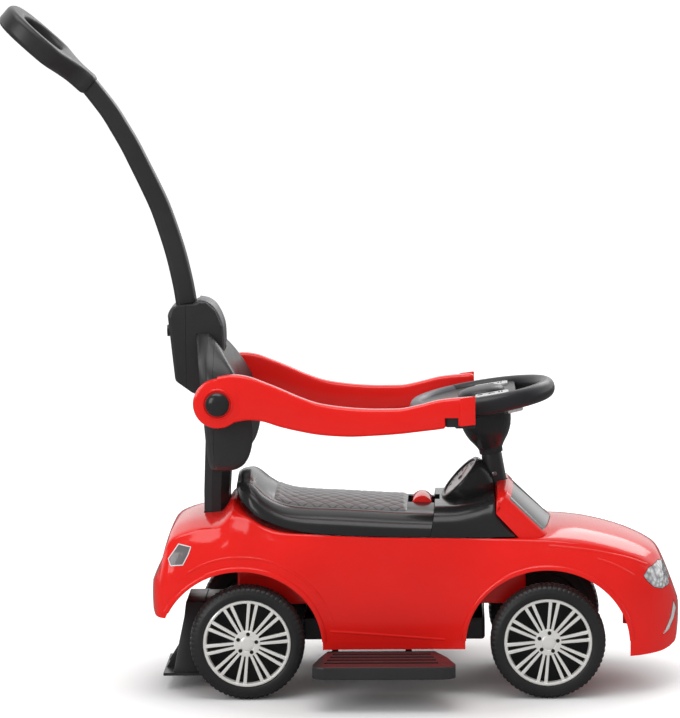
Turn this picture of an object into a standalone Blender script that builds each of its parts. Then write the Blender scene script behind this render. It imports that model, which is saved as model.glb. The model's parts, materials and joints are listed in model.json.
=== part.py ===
# Foot-to-floor ride-on car with a push handle, guard arms, a lifting seat and slide-in footrests.
# Metres, +Z up, +X towards the nose. Lengths along X below are measured from the rear axle.
import bpy
import bmesh
from math import acos, cos, pi, radians, sin, tan
from mathutils import Vector, Matrix

# Driving sizes
wheelbase = 0.379
wheel_radius = 0.0725
tyre_width = 0.036
track_half = 0.110           # mid-plane of a tyre from the car's mid-plane
rim_radius = 0.054
axle_radius = 0.004
skin = 0.003                 # wall of the moulded shells
gap = 0.0003                 # between parts that touch
running = 0.0010             # beside parts that move
rear_axle_x = -0.1195        # puts the middle of the whole car at X = 0
belt_half = 0.104            # half width of the black cockpit trim
steer_lean = radians(9)      # the column leans back
steer_foot_x = 0.3454        # where the column's line crosses the axle height
axle_z = wheel_radius

for item in list(bpy.data.objects):
    bpy.data.objects.remove(item, do_unlink=True)

scene = bpy.context.scene
scene.unit_settings.system = "METRIC"
car = bpy.data.collections.new("ride_on_car")
scene.collection.children.link(car)

rear_axle_frame = bpy.data.objects.new("rear_axle_frame", None)
rear_axle_frame.location = (rear_axle_x, 0, 0)
car.objects.link(rear_axle_frame)

finishes = {
    "red": ((0.745, 0.014, 0.016, 1), 0.18, 0.0),
    "black": ((0.021, 0.021, 0.023, 1), 0.38, 0.0),
    "dark": ((0.012, 0.012, 0.013, 1), 0.5, 0.0),
    "grey": ((0.07, 0.07, 0.078, 1), 0.32, 0.0),
    "chrome": ((0.80, 0.79, 0.76, 1), 0.12, 1.0),
    "steel": ((0.55, 0.55, 0.56, 1), 0.3, 1.0),
    "glass": ((0.16, 0.17, 0.18, 1), 0.15, 0.0),
    "silver": ((0.62, 0.62, 0.64, 1), 0.3, 0.8),
    "clear": ((0.8, 0.82, 0.84, 1), 0.08, 0.0),
}


def material(kind):
    found = bpy.data.materials.get(kind)
    if found:
        return found
    colour, roughness, metallic = finishes[kind]
    made = bpy.data.materials.new(kind)
    made.use_nodes = True
    shader = made.node_tree.nodes["Principled BSDF"]
    shader.inputs["Base Color"].default_value = colour
    shader.inputs["Roughness"].default_value = roughness
    shader.inputs["Metallic"].default_value = metallic
    return made


def from_bmesh(name, bm, orient=True):
    if orient:
        bmesh.ops.recalc_face_normals(bm, faces=bm.faces)
    mesh = bpy.data.meshes.new(name)
    bm.to_mesh(mesh)
    bm.free()
    obj = bpy.data.objects.new(name, mesh)
    car.objects.link(obj)
    return obj


def bake(obj, orient=False):
    # The evaluated mesh, with the object's own placing put into it, replaces the object's data
    bpy.context.view_layer.update()
    graph = bpy.context.evaluated_depsgraph_get()
    mesh = bpy.data.meshes.new_from_object(obj.evaluated_get(graph), depsgraph=graph)
    mesh.transform(obj.matrix_world)
    name = obj.name
    bpy.data.objects.remove(obj, do_unlink=True)
    bm = bmesh.new()
    bm.from_mesh(mesh)
    bmesh.ops.remove_doubles(bm, verts=bm.verts, dist=0.00001)
    return from_bmesh(name, bm, orient)


def block(name, low, high, rounding=0.0, steps=2):
    bm = bmesh.new()
    bmesh.ops.create_cube(bm, size=1)
    low, high = Vector(low), Vector(high)
    size = high - low
    bmesh.ops.scale(bm, vec=size, verts=bm.verts)
    bmesh.ops.translate(bm, vec=(low + high) / 2, verts=bm.verts)
    obj = from_bmesh(name, bm)
    return rounded(obj, rounding, steps) if rounding else obj


def rounded(obj, width, steps=2, angle=35):
    bevel = obj.modifiers.new("Bevel", "BEVEL")
    bevel.width = width
    bevel.segments = steps
    bevel.limit_method = "ANGLE"
    bevel.angle_limit = radians(angle)
    return bake(obj)


def turn_to(direction):
    return Vector((0, 0, 1)).rotation_difference(Vector(direction)).to_matrix().to_4x4()


def rod(name, start, end, radius, end_radius=None, sides=14):
    start, end = Vector(start), Vector(end)
    bm = bmesh.new()
    place = Matrix.Translation((start + end) / 2) @ turn_to(end - start)
    bmesh.ops.create_cone(bm, cap_ends=True, segments=sides, radius1=radius,
                          radius2=radius if end_radius is None else end_radius,
                          depth=(end - start).length, matrix=place)
    return from_bmesh(name, bm)


def turned(name, profile, base, direction, steps=28):
    # profile runs as (radius, height) up one side; it is spun about the direction through base
    bm = bmesh.new()
    points = [bm.verts.new((r, 0, h)) for r, h in profile]
    for first, second in zip(points, points[1:]):
        bm.edges.new((first, second))
    if profile[0][0] > 0 and profile[-1][0] > 0:
        bm.edges.new((points[-1], points[0]))
    obj = from_bmesh(name, bm)
    spin = obj.modifiers.new("Screw", "SCREW")
    spin.steps = steps
    spin.render_steps = steps
    spin.use_merge_vertices = True
    spin.merge_threshold = 0.00001
    obj.matrix_world = Matrix.Translation(Vector(base)) @ turn_to(direction)
    return bake(obj, orient=True)


def slab(name, outline, low, high, axis="Y", holes=()):
    # A flat outline with thickness. axis Y: outline is (x, z); axis Z: (x, y); axis X: (y, z)
    curve = bpy.data.curves.new(name, "CURVE")
    curve.dimensions = "2D"
    curve.fill_mode = "BOTH"
    curve.extrude = (high - low) / 2
    for loop in (outline, *holes):
        spline = curve.splines.new("POLY")
        spline.points.add(len(loop) - 1)
        for point, (u, v) in zip(spline.points, loop):
            point.co = (u, v, 0, 1)
        spline.use_cyclic_u = True
    obj = bpy.data.objects.new(name, curve)
    car.objects.link(obj)
    middle = (low + high) / 2
    if axis == "Y":
        obj.matrix_world = Matrix.Translation((0, middle, 0)) @ Matrix.Rotation(pi / 2, 4, "X")
    elif axis == "X":
        turn = Matrix(((0, 0, 1, 0), (1, 0, 0, 0), (0, 1, 0, 0), (0, 0, 0, 1)))
        obj.matrix_world = Matrix.Translation((middle, 0, 0)) @ turn
    else:
        obj.location = (0, 0, middle)
    return bake(obj, orient=True)


def loft(name, rings):
    # Closed skin through rings of equal point counts, with both end rings capped
    bm = bmesh.new()
    rows = [[bm.verts.new(p) for p in ring] for ring in rings]
    count = len(rows[0])
    for near, far in zip(rows, rows[1:]):
        for i in range(count):
            j = (i + 1) % count
            bm.faces.new((near[i], near[j], far[j], far[i]))
    bm.faces.new(rows[0][::-1])
    bm.faces.new(rows[-1])
    bmesh.ops.triangulate(bm, faces=bm.faces)
    return from_bmesh(name, bm)


def combine(target, other, operation, keep=False, solver="EXACT"):
    tool = target.modifiers.new("Boolean", "BOOLEAN")
    tool.operation = operation
    tool.object = other
    tool.solver = solver
    done = bake(target)
    if not keep:
        bpy.data.objects.remove(other, do_unlink=True)
    return done


def cut(target, *cutters, solver="EXACT"):
    for cutter in cutters:
        target = combine(target, cutter, "DIFFERENCE", solver=solver)
    return target


def join(target, *others):
    for other in others:
        target = combine(target, other, "UNION")
    return target


def copy(obj, name):
    made = bpy.data.objects.new(name, obj.data.copy())
    made.matrix_world = obj.matrix_world
    car.objects.link(made)
    return made


def done(obj, kind, origin=(0, 0, 0), smooth=32):
    # Puts the origin where the part is carried or turns, gives the finish and hangs it on the car
    obj.data.transform(Matrix.Translation(-Vector(origin)))
    obj.location = origin
    obj.data.materials.clear()
    obj.data.materials.append(material(kind))
    obj.data.shade_smooth()
    obj.data.set_sharp_from_angle(angle=radians(smooth))
    obj.parent = rear_axle_frame
    return obj


def spline_through(rows, at):
    # Smooth interpolation of a table whose first column is the station, at one station
    at = min(max(at, rows[0][0]), rows[-1][0])
    i = max(k for k in range(len(rows) - 1) if rows[k][0] <= at)
    first, second = rows[i], rows[i + 1]
    span = second[0] - first[0]
    t = (at - first[0]) / span
    before = rows[i - 1] if i else first
    after = rows[i + 2] if i + 2 < len(rows) else second
    out = [at]
    for k in range(1, len(first)):
        slope_a = (second[k] - before[k]) / max(second[0] - before[0], 1e-9) * span
        slope_b = (after[k] - first[k]) / max(after[0] - first[0], 1e-9) * span
        rise = second[k] - first[k]
        if rise * slope_a <= 0:
            slope_a = 0
        if rise * slope_b <= 0:
            slope_b = 0
        slope_a = max(-3 * abs(rise), min(3 * abs(rise), slope_a))
        slope_b = max(-3 * abs(rise), min(3 * abs(rise), slope_b))
        out.append((2 * t**3 - 3 * t**2 + 1) * first[k] + (t**3 - 2 * t**2 + t) * slope_a
                   + (3 * t**2 - 2 * t**3) * second[k] + (t**3 - t**2) * slope_b)
    return out


def path_through(points, per_span):
    # Catmull-Rom points through a list of (x, z)
    ends = [points[0], *points, points[-1]]
    out = []
    for a, b, c, d in zip(ends, ends[1:], ends[2:], ends[3:]):
        for n in range(per_span):
            t = n / per_span
            out.append(tuple(0.5 * (2 * q + (r - p) * t + (2 * p - 5 * q + 4 * r - s) * t * t
                                    + (3 * q - p - 3 * r + s) * t**3)
                             for p, q, r, s in zip(a, b, c, d)))
    out.append(points[-1])
    return out


# Steering line: from the axle carrier up through the column to the ring
steer_dir = Vector((-sin(steer_lean), 0, cos(steer_lean)))


def on_column(z):
    return Vector((steer_foot_x - (z - axle_z) * tan(steer_lean), 0, z))


# Body shell: half sections at stations along X
# station, bottom z, bottom half width, widest half width, its z, crease half width, its z, middle top z
sill_z = 0.060
belt_z = 0.2030
body_stations = [
    (-0.1210, 0.110, 0.078, 0.084, 0.130, 0.074, 0.146, 0.148),
    (-0.1170, 0.105, 0.098, 0.102, 0.130, 0.094, 0.152, 0.156),
    (-0.1110, 0.104, 0.111, 0.114, 0.132, 0.102, 0.163, 0.168),
    (-0.1050, 0.104, 0.117, 0.119, 0.135, 0.103, 0.184, 0.191),
    (-0.0980, 0.102, 0.119, 0.122, 0.140, 0.103, 0.199, 0.209),
    (-0.0850, 0.099, 0.120, 0.124, 0.145, 0.102, 0.207, 0.218),
    (-0.0650, 0.094, 0.120, 0.125, 0.150, 0.100, 0.213, 0.2245),
    (-0.0350, 0.080, 0.120, 0.126, 0.152, 0.098, 0.217, 0.2275),
    (-0.0180, 0.070, 0.120, 0.126, 0.152, 0.095, 0.232, 0.2480),
    (0.0000, 0.064, 0.119, 0.126, 0.150, 0.098, 0.229, 0.2350),
    (0.0200, 0.062, 0.117, 0.125, 0.147, 0.101, 0.218, 0.2200),
    (0.0450, sill_z, 0.114, 0.123, 0.142, 0.104, belt_z + 0.0072, 0.2120),
    (0.0800, sill_z, 0.109, 0.116, 0.136, 0.1055, belt_z + 0.0045, 0.2070),
    (0.1100, sill_z, 0.104, 0.110, 0.132, 0.1060, belt_z + 0.0025, belt_z + 0.002),
    (0.1700, sill_z, 0.103, 0.108, 0.130, 0.1060, belt_z, belt_z - 0.001),
    (0.2400, sill_z, 0.103, 0.108, 0.130, 0.1055, belt_z - 0.001, belt_z - 0.002),
    (0.2900, sill_z, 0.106, 0.112, 0.130, 0.1050, belt_z - 0.002, belt_z - 0.003),
    (0.3300, sill_z, 0.113, 0.118, 0.134, 0.1045, belt_z - 0.0025, belt_z - 0.002),
    (0.3600, 0.058, 0.116, 0.120, 0.138, 0.1035, 0.1995, 0.2040),
    (0.3850, 0.056, 0.117, 0.121, 0.140, 0.1025, 0.1985, 0.2105),
    (0.4200, 0.054, 0.116, 0.121, 0.138, 0.1010, 0.1945, 0.2080),
    (0.4490, 0.052, 0.114, 0.119, 0.135, 0.0980, 0.1890, 0.2025),
    (0.4750, 0.051, 0.110, 0.115, 0.130, 0.0930, 0.1815, 0.1955),
    (0.4950, 0.051, 0.102, 0.106, 0.125, 0.0870, 0.1740, 0.1880),
    (0.5100, 0.051, 0.090, 0.095, 0.120, 0.0790, 0.1650, 0.1810),
    (0.5220, 0.051, 0.076, 0.081, 0.115, 0.0680, 0.1560, 0.1720),
    (0.5310, 0.052, 0.062, 0.067, 0.110, 0.0560, 0.1420, 0.1540),
    (0.5400, 0.055, 0.044, 0.049, 0.105, 0.0420, 0.1240, 0.1310),
    (0.5450, 0.060, 0.030, 0.036, 0.102, 0.0300, 0.1120, 0.1170),
    (0.5480, 0.078, 0.016, 0.020, 0.098, 0.0160, 0.1050, 0.1080),
]
nose_x = body_stations[-1][0]
tail_x = body_stations[0][0]


def body_ring(at, wall):
    x, zb, wb, ww, zw, wc, zc, zt = spline_through(body_stations, min(max(at, tail_x), nose_x))
    half = [
        (wb, zb),
        (wb + (ww - wb) * 0.55, zb + (zw - zb) * 0.35),
        (ww - (ww - wb) * 0.06, zb + (zw - zb) * 0.75),
        (ww, zw),
        (ww - (ww - wc) * 0.10, zw + (zc - zw) * 0.35),
        (ww - (ww - wc) * 0.38, zw + (zc - zw) * 0.68),
        (wc + (ww - wc) * 0.22, zw + (zc - zw) * 0.90),
        (wc, zc),
        (wc - 0.010, zc + (zt - zc) * 0.30),
        (wc * 0.62, zc + (zt - zc) * 0.78),
        (wc * 0.30, zc + (zt - zc) * 0.96),
        (0, zt),
    ]
    if wall:
        lift = [(max(y - wall, 0.001), z) for y, z in half[:7]]
        half = [(lift[0][0], zb - 0.04), *lift[1:], *[(max(y - wall, 0), z - wall) for y, z in half[7:]]]
    ring = [(at, -y, z) for y, z in half]
    return ring + [(at, y, z) for y, z in half[-2::-1]]


body_marks = [tail_x, *[row[0] for row in body_stations[1:12]], 0.0620, *[row[0] for row in body_stations[12:-1]],
              nose_x]
body_outer = loft("body_outer", [body_ring(x, 0) for x in body_marks])
body_seat = copy(body_outer, "body_seat")     # the shell's outside, a touch higher, shapes what rests on it
screen_seat = copy(body_outer, "screen_seat")
body_seat.location.z = gap
screen_seat.location.z = gap
# The inside has its rings at the same places, so that the wall keeps its thickness
inner_marks = [tail_x + skin, *body_marks[2:-3], nose_x - skin]
body_inner = loft("body_inner", [body_ring(x, skin) for x in inner_marks])
under_deck = copy(body_inner, "under_deck")
under_deck.location.z = -gap

# Wheel arches: a flat-topped ellipse with straight sides below
arch_rear = (-0.008, 0.066, 0.103, 0.099)
arch_front = (wheelbase, 0.066, 0.104, 0.098)


def arch(name, shape):
    x, z, rx, rz = shape
    outline = [(x + rx * cos(pi * n / 24), z + rz * sin(pi * n / 24)) for n in range(25)]
    return slab(name, [(x + rx, -0.01), *outline, (x - rx, -0.01)], -0.2, 0.2)


# The exact solver loses the thin shell, so the shell is cut with the manifold one
shell = cut(body_outer, body_inner, solver="MANIFOLD")
tail_cut = slab("tail_cut", [(-0.2, -0.01), (-0.2, 0.104), (-0.095, 0.104), (-0.095, -0.01)], -0.2, 0.2)
shell = cut(shell, arch("rear_arch", arch_rear), arch("front_arch", arch_front), tail_cut, solver="MANIFOLD")

# Post and the deck opening under the seat
post_half = 0.035
post_back, post_front = -0.0590, -0.0180
tub_rear, tub_front, tub_half, tub_floor = -0.0140, 0.3520, 0.070, 0.112
bin_rear, bin_front = tub_rear + skin, 0.2960
deck_under = 0.1990
post_hole = block("post_hole", (post_back + 0.001 - gap, -post_half + 0.002 - gap, 0.14),
                  (-0.0260 + gap, post_half - 0.002 + gap, 0.30))
hinge_block = (0.0110, 0.0400)     # half length and half width of the seat hinge's block in the shell
hinge_hole = block("hinge_hole", (-hinge_block[0] - gap, -hinge_block[1] - gap, 0.2100),
                   (hinge_block[0] + gap, hinge_block[1] + gap, 0.2700))
deck_hole = block("deck_hole", (0.0165, -tub_half + skin, 0.17), (bin_front, tub_half - skin, 0.26))
column_radius = 0.0125
column_hole = rod("column_hole", on_column(0.17), on_column(0.24), column_radius + gap, sides=24)
shell = cut(shell, post_hole, hinge_hole, deck_hole, column_hole, solver="MANIFOLD")

# Lamps, vents and the grille are let into the shell, flush with it
lamp_outline = [(0.500, 0.152), (0.5145, 0.1625), (0.5245, 0.1605), (0.5305, 0.139), (0.5260, 0.132),
                (0.5160, 0.1355), (0.5090, 0.1435)]
tail_outline = [(-0.0990, 0.1735), (-0.0865, 0.1680), (-0.0715, 0.1905), (-0.0825, 0.1955)]
vent_outline = [(0.5410, 0.1100), (0.5365, 0.0900), (0.5270, 0.0725), (0.5340, 0.0755), (0.5410, 0.0880),
                (0.5440, 0.1000)]
grille_outline = [(-0.024, 0.0820), (0.024, 0.0820), (0.030, 0.1010), (0.026, 0.1080), (-0.026, 0.1080),
                  (-0.030, 0.1010)]


def grown(outline, by):
    # The outline moved outwards by a clearance, corner by corner
    out = []
    count = len(outline)
    area = sum(outline[i][0] * outline[(i + 1) % count][1] - outline[(i + 1) % count][0] * outline[i][1]
               for i in range(count))
    side = 1 if area > 0 else -1
    for i in range(count):
        before, here, after = (Vector(outline[k % count]) for k in (i - 1, i, i + 1))
        one = (here - before).normalized()
        two = (after - here).normalized()
        normal_one = Vector((one.y, -one.x)) * side
        normal_two = Vector((two.y, -two.x)) * side
        mitre = (normal_one + normal_two).normalized()
        out.append(tuple(here + mitre * by / max(mitre.dot(normal_one), 0.3)))
    return out


whole_shell = copy(shell, "whole_shell")


def inlay(name, outline, low, high, axis):
    global shell
    piece = combine(slab(name, outline, low, high, axis), whole_shell, "INTERSECT", True, "MANIFOLD")
    hole = slab(name + "_hole", grown(outline, gap), low - gap, high + gap, axis)
    shell = cut(shell, hole, solver="MANIFOLD")
    return piece


for side, word in ((-1, "right"), (1, "left")):
    reach = sorted((side * 0.030, side * 0.15))
    done(inlay("headlight_" + word, lamp_outline, *reach, "Y"), "clear")
    done(inlay("tail_light_" + word, tail_outline, *reach, "Y"), "silver")
    reach = sorted((side * 0.024, side * 0.15))
    done(inlay("bumper_vent_" + word, vent_outline, *reach, "Y"), "chrome")
done(inlay("front_grille", grille_outline, 0.53, 0.56, "X"), "dark")
bpy.data.objects.remove(whole_shell, do_unlink=True)
shell.name = "body_shell"
done(shell, "red")

# Inner tub: a storage bin under the seat and a housing for the steering rod in front of it
rod_radius = 0.005
bin_floor_wall = 0.003
tub = block("inner_tub", (tub_rear, -tub_half, tub_floor), (tub_front, tub_half, deck_under), 0.003)
tub = combine(tub, under_deck, "INTERSECT", solver="MANIFOLD")
bin_space = block("bin_space", (bin_rear, -tub_half + skin, tub_floor + bin_floor_wall),
                  (bin_front, tub_half - skin, deck_under + 0.01))
rod_space = block("rod_space", (bin_front + skin, -tub_half + skin, tub_floor + bin_floor_wall),
                  (tub_front - skin, tub_half - skin, deck_under + 0.01))
rod_hole = rod("rod_hole", on_column(0.10), on_column(0.13), rod_radius + running, sides=24)
done(cut(tub, bin_space, rod_space, rod_hole), "red")

# Rear axle, its bracket under the tub, and the pan between the wheels
axle_half = track_half + tyre_width / 2 - 0.004
bracket_half = 0.072
boss_end = 0.0880            # the wheel hubs run against the bosses
boss_radius = 0.010
done(rod("rear_axle", (0, -axle_half, axle_z), (0, axle_half, axle_z), axle_radius), "steel", (0, 0, axle_z))
bracket = block("rear_axle_bracket", (-0.016, -bracket_half, 0.056), (0.016, bracket_half, tub_floor - gap), 0.003)
relief = block("relief", (-0.02, -bracket_half + 0.012, 0.050), (0.02, bracket_half - 0.012, 0.098))
axle_bore = rod("axle_bore", (0, -0.1, axle_z), (0, 0.1, axle_z), axle_radius + gap)
bosses = [rod("axle_boss", (0, side * (bracket_half - 0.002), axle_z), (0, side * boss_end, axle_z), boss_radius)
          for side in (-1, 1)]
bracket = join(cut(bracket, relief), *bosses)
done(cut(bracket, axle_bore), "black")

pan_rear, pan_front, pan_half, pan_low, pan_high = 0.068, 0.300, 0.074, 0.0665, 0.0950
pan = block("chassis_pan", (pan_rear, -pan_half, pan_low), (pan_front, pan_half, pan_high), 0.004)
pan_space = block("pan_space", (pan_rear + skin, -pan_half + skin, pan_low + skin),
                  (pan_front - skin, pan_half - skin, 0.12))
pan = cut(pan, pan_space)
post_spots = [(x, y) for x in (pan_rear + 0.020, pan_front - 0.020) for y in (-0.045, 0.045)]
pan = join(pan, *[rod("pan_post", (x, y, pan_low + 0.001), (x, y, tub_floor - gap), 0.006, sides=16)
                  for x, y in post_spots])

# Footrests slide out on two flat runners each, in guides under the pan
foot_low, foot_high = 0.0420, 0.0580
foot_inner, foot_outer = 0.104, 0.205
runner_half, runner_high = 0.008, 0.0030
neck_half = 0.004
runner_spots = {"right": (0.110, 0.203), "left": (0.138, 0.229)}
runner_top = pan_low - gap
runner_inner, runner_outer = 0.006, 0.094
guide_side = 0.004
guide_low = foot_high + running
for x in [spot for spots in runner_spots.values() for spot in spots]:
    guide = block("guide", (x - runner_half - guide_side, -pan_half, guide_low),
                  (x + runner_half + guide_side, pan_half, pan_low + skin / 2))
    slot = block("slot", (x - runner_half - running, -0.2, runner_top - runner_high - running),
                 (x + runner_half + running, 0.2, pan_low))
    mouth = block("mouth", (x - neck_half - running, -0.2, guide_low - 0.01),
                  (x + neck_half + running, 0.2, runner_top - runner_high))
    pan = join(pan, cut(guide, slot, mouth))
done(pan, "black")

foot_plan = [(0.100, foot_inner), (0.238, foot_inner), (0.252, foot_inner + 0.036), (0.2625, foot_outer - 0.023),
             (0.2625, foot_outer - 0.009), (0.2560, foot_outer - 0.002), (0.2480, foot_outer), (0.0990, foot_outer),
             (0.0910, foot_outer - 0.002), (0.0845, foot_outer - 0.009), (0.0845, foot_outer - 0.023),
             (0.092, foot_inner + 0.036)]
groove_depth = 0.0022


def side_block(name, side, x, y, z, rounding=0.0):
    # A block given by its outer-side Y range, for either side of the car
    low, high = sorted((side * y[0], side * y[1]))
    return block(name, (x[0], low, z[0]), (x[1], high, z[1]), rounding)


for side, word in ((-1, "right"), (1, "left")):
    plate = slab("footrest_" + word, [(x, side * y) for x, y in foot_plan], foot_low, foot_high, "Z")
    plate = rounded(plate, 0.003, 2)
    for n in range(4):
        y = 0.124 + 0.018 * n
        grow = 0.003 * n
        plate = cut(plate, side_block("groove", side, (0.108 - grow, 0.232 + grow), (y - 0.004, y + 0.004),
                                      (foot_high - groove_depth, foot_high + 0.01)))
    plate = cut(plate, side_block("hollow", side, (0.106, 0.240), (0.112, 0.196),
                                  (foot_low - 0.01, foot_high - groove_depth - skin)))
    for x in runner_spots[word]:
        wide = (x - runner_half, x + runner_half)
        slim = (x - neck_half, x + neck_half)
        runner = side_block("runner", side, wide, (runner_inner, runner_outer), (runner_top - runner_high, runner_top))
        neck = side_block("neck", side, slim, (runner_outer - 0.010, runner_outer - 0.0005),
                          (foot_high - 0.0055, runner_top - 0.001))
        tongue = side_block("tongue", side, slim, (runner_outer - 0.0095, foot_inner + 0.006),
                            (foot_high - 0.005, foot_high - 0.0005))
        plate = join(plate, runner, neck, tongue)
    done(plate, "black", (0.1735, side * foot_outer, foot_high))

# Anti-tip guard behind the rear axle bracket
guard_top_z, guard_low_z = tub_floor - gap, 0.0185
guard_rings = []
for z, back, front, half in ((guard_low_z, -0.1110, -0.0650, 0.060), (0.030, -0.1060, -0.0645, 0.058),
                             (0.062, -0.0960, -0.0620, 0.052), (0.092, -0.0860, -0.0580, 0.047),
                             (guard_top_z, -0.0820, -0.0560, 0.045)):
    guard_rings.append([(back, -half, z), (front, -half, z), (front, half, z), (back, half, z)])
guard = rounded(loft("rear_guard", guard_rings), 0.003, 2)
guard_space = loft("guard_space", [[(back + skin, -half + skin, z - 0.005), (front - skin, -half + skin, z - 0.005),
                                    (front - skin, half - skin, z - 0.005), (back + skin, half - skin, z - 0.005)]
                                   for z, back, front, half in ((0.015, -0.1110, -0.0650, 0.060),
                                                                (0.062, -0.0960, -0.0620, 0.052),
                                                                (0.105, -0.0840, -0.0570, 0.046))])
guard = cut(guard, guard_space)
guard_arm = block("guard_arm", (-0.0600, -0.040, 0.0985), (-0.016 - gap, 0.040, guard_top_z), 0.002)
guard_fins = [side_block("fin", side, (-0.118, -0.100), (0.020, 0.024), (guard_low_z, 0.052)) for side in (-1, 1)]
done(join(guard, guard_arm, *guard_fins), "black")

# Wheels: a moulded tyre with its hub, and a bright rim cover clipped to its outer face
spoke_pairs = 10
hub_radius = 0.015
bore = axle_radius + running / 2
tyre_inner, tyre_outer = track_half - tyre_width / 2, track_half + tyre_width / 2
rim_face = 0.1225            # plane of the rim cover's back
cover_depth = 0.0045
wall_radius = rim_radius - 0.0015
web = 0.0955


tyre_steps = 20
rim_steps = 20
hub_inner, hub_outer = 0.0885, 0.1175
cap_recess = 0.0070          # room for the axle end and its retainer


def tyre_profile():
    # Radius against distance from the car's mid-plane
    shoulder = 0.006
    outside = [(wall_radius, tyre_outer - 0.0035), (wall_radius + 0.0045, tyre_outer)]
    tread = [(wheel_radius, tyre_outer - shoulder), (wheel_radius, tyre_inner + shoulder)]
    inside = [(0.050, tyre_inner), (0.047, web)]
    hub = [(hub_radius, web), (hub_radius, hub_inner), (bore, hub_inner), (bore, hub_outer),
           (hub_radius, hub_outer), (hub_radius, web + 0.003), (wall_radius, web + 0.003)]
    return [*outside, *tread, *inside, *hub]


def wheel(word, x, side):
    centre = (x, 0, axle_z)
    out = (0, side, 0)
    tyre = turned("tyre_" + word, tyre_profile(), centre, out, tyre_steps)
    done(tyre, "dark", (x, side * track_half, axle_z), 28)
    face = rim_face + cover_depth
    flange = 0.049
    cover_profile = [(0.0, face), (flange, face - 0.001), (wall_radius - gap, face - 0.001),
                     (wall_radius - gap, rim_face - 0.003), (flange, rim_face - 0.003), (flange, rim_face),
                     (hub_radius - 0.002, rim_face), (hub_radius - 0.002, hub_outer + gap),
                     (cap_recess, hub_outer + gap), (cap_recess, rim_face + 0.0025), (0.0, rim_face + 0.0025)]
    cover = turned("rim_" + word, cover_profile, centre, out, rim_steps)
    for n in range(spoke_pairs):
        angle = 2 * pi * (n + 0.5) / spoke_pairs
        near, far = 0.024, 0.0475
        window = [(near * cos(angle + t), near * sin(angle + t)) for t in (-radians(7), radians(7))]
        window += [(far * cos(angle + t), far * sin(angle + t)) for t in (radians(11.2), -radians(11.2))]
        low, high = sorted((side * (rim_face - 0.01), side * (face + 0.01)))
        cover = cut(cover, slab("window", [(x + u, axle_z + v) for u, v in window], low, high))
    done(cover, "chrome", (x, side * track_half, axle_z), 30)


for end, x in (("rear", 0.0), ("front", wheelbase)):
    for side, word in ((-1, "right"), (1, "left")):
        wheel(end + "_" + word, x, side)

# Push-on retainers at the axle ends
for end, x in (("rear", 0.0), ("front", wheelbase)):
    for side, word in ((-1, "right"), (1, "left")):
        ring = turned("retainer_" + end + "_" + word, [(0.0064, 0.0), (0.0064, 0.001), (axle_radius + gap, 0.001),
                                                       (axle_radius + gap, 0.0)],
                      (x, side * (hub_outer + gap), axle_z), (0, side, 0), 10)
        done(ring, "steel", (x, 0, axle_z))

# Steering: carrier and front axle below, rod up through the housing and column
carrier_half, carrier_low, carrier_high = 0.066, 0.0610, 0.0860
rod_foot_z, rod_top_z = 0.0660, 0.3660
carrier = block("axle_carrier", (steer_foot_x - 0.012, -carrier_half, carrier_low),
                (wheelbase + 0.012, carrier_half, carrier_high), 0.004)
for side in (-1, 1):
    boss = rod("boss", (wheelbase, side * (carrier_half - 0.002), axle_z), (wheelbase, side * boss_end, axle_z),
               boss_radius)
    carrier = join(carrier, boss)
collar = rod("collar", on_column(axle_z), on_column(0.0990), 0.0095)
carrier = join(carrier, collar)
carrier = cut(carrier, rod("bore", (wheelbase, -0.1, axle_z), (wheelbase, 0.1, axle_z), axle_radius + gap),
              rod("socket", on_column(rod_foot_z - gap), on_column(0.12), rod_radius + gap))
column_foot = (steer_foot_x, 0, axle_z)
done(carrier, "black", column_foot)
done(rod("front_axle", (wheelbase, -axle_half, axle_z), (wheelbase, axle_half, axle_z), axle_radius), "steel",
     column_foot)
done(rod("steering_rod", on_column(rod_foot_z), on_column(rod_top_z), rod_radius), "steel", column_foot)

# Fixed column: a bush in the tub floor, the sleeve, the bell and the yoke that carries the arms' ends
bush_flange = 0.010
bush = turned("rod_bush", [(bush_flange, 0.0), (bush_flange, 0.002), (0.0085, 0.002), (0.0085, 0.010),
                           (rod_radius + running / 2, 0.010), (rod_radius + running / 2, 0.0)],
              on_column(tub_floor + bin_floor_wall + 0.0019), steer_dir, 16)
done(bush, "silver")
sleeve_low, sleeve_high = 0.1860, 0.2950
sleeve_length = (sleeve_high - sleeve_low) / cos(steer_lean)
sleeve = turned("column_sleeve", [(column_radius, 0.0), (column_radius, sleeve_length), (0.0065, sleeve_length),
                                  (0.0065, 0.0)], on_column(sleeve_low), steer_dir, 28)
done(sleeve, "black")
bell_high = 0.3370
bell_low = sleeve_high + gap
bell_length = (bell_high - bell_low) / cos(steer_lean)
bell_outline = [(0.0145, 0.0), (0.0150, 0.006), (0.0190, 0.012), (0.0245, 0.020), (0.0290, 0.030),
                (0.0315, 0.038), (0.0320, bell_length - 0.001), (0.0310, bell_length)]
bell = turned("column_bell", [*bell_outline, (0.0065, bell_length), (0.0065, 0.0)], on_column(bell_low),
              steer_dir, 24)
bell_seat = turned("bell_seat", [(0.0, 0.0), *[(r + gap, h) for r, h in bell_outline[1:-1]],
                                 (bell_outline[-1][0] + gap, bell_length + gap), (0.0, bell_length + gap)],
                   on_column(bell_low), steer_dir, 24)
done(bell, "black")

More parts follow.
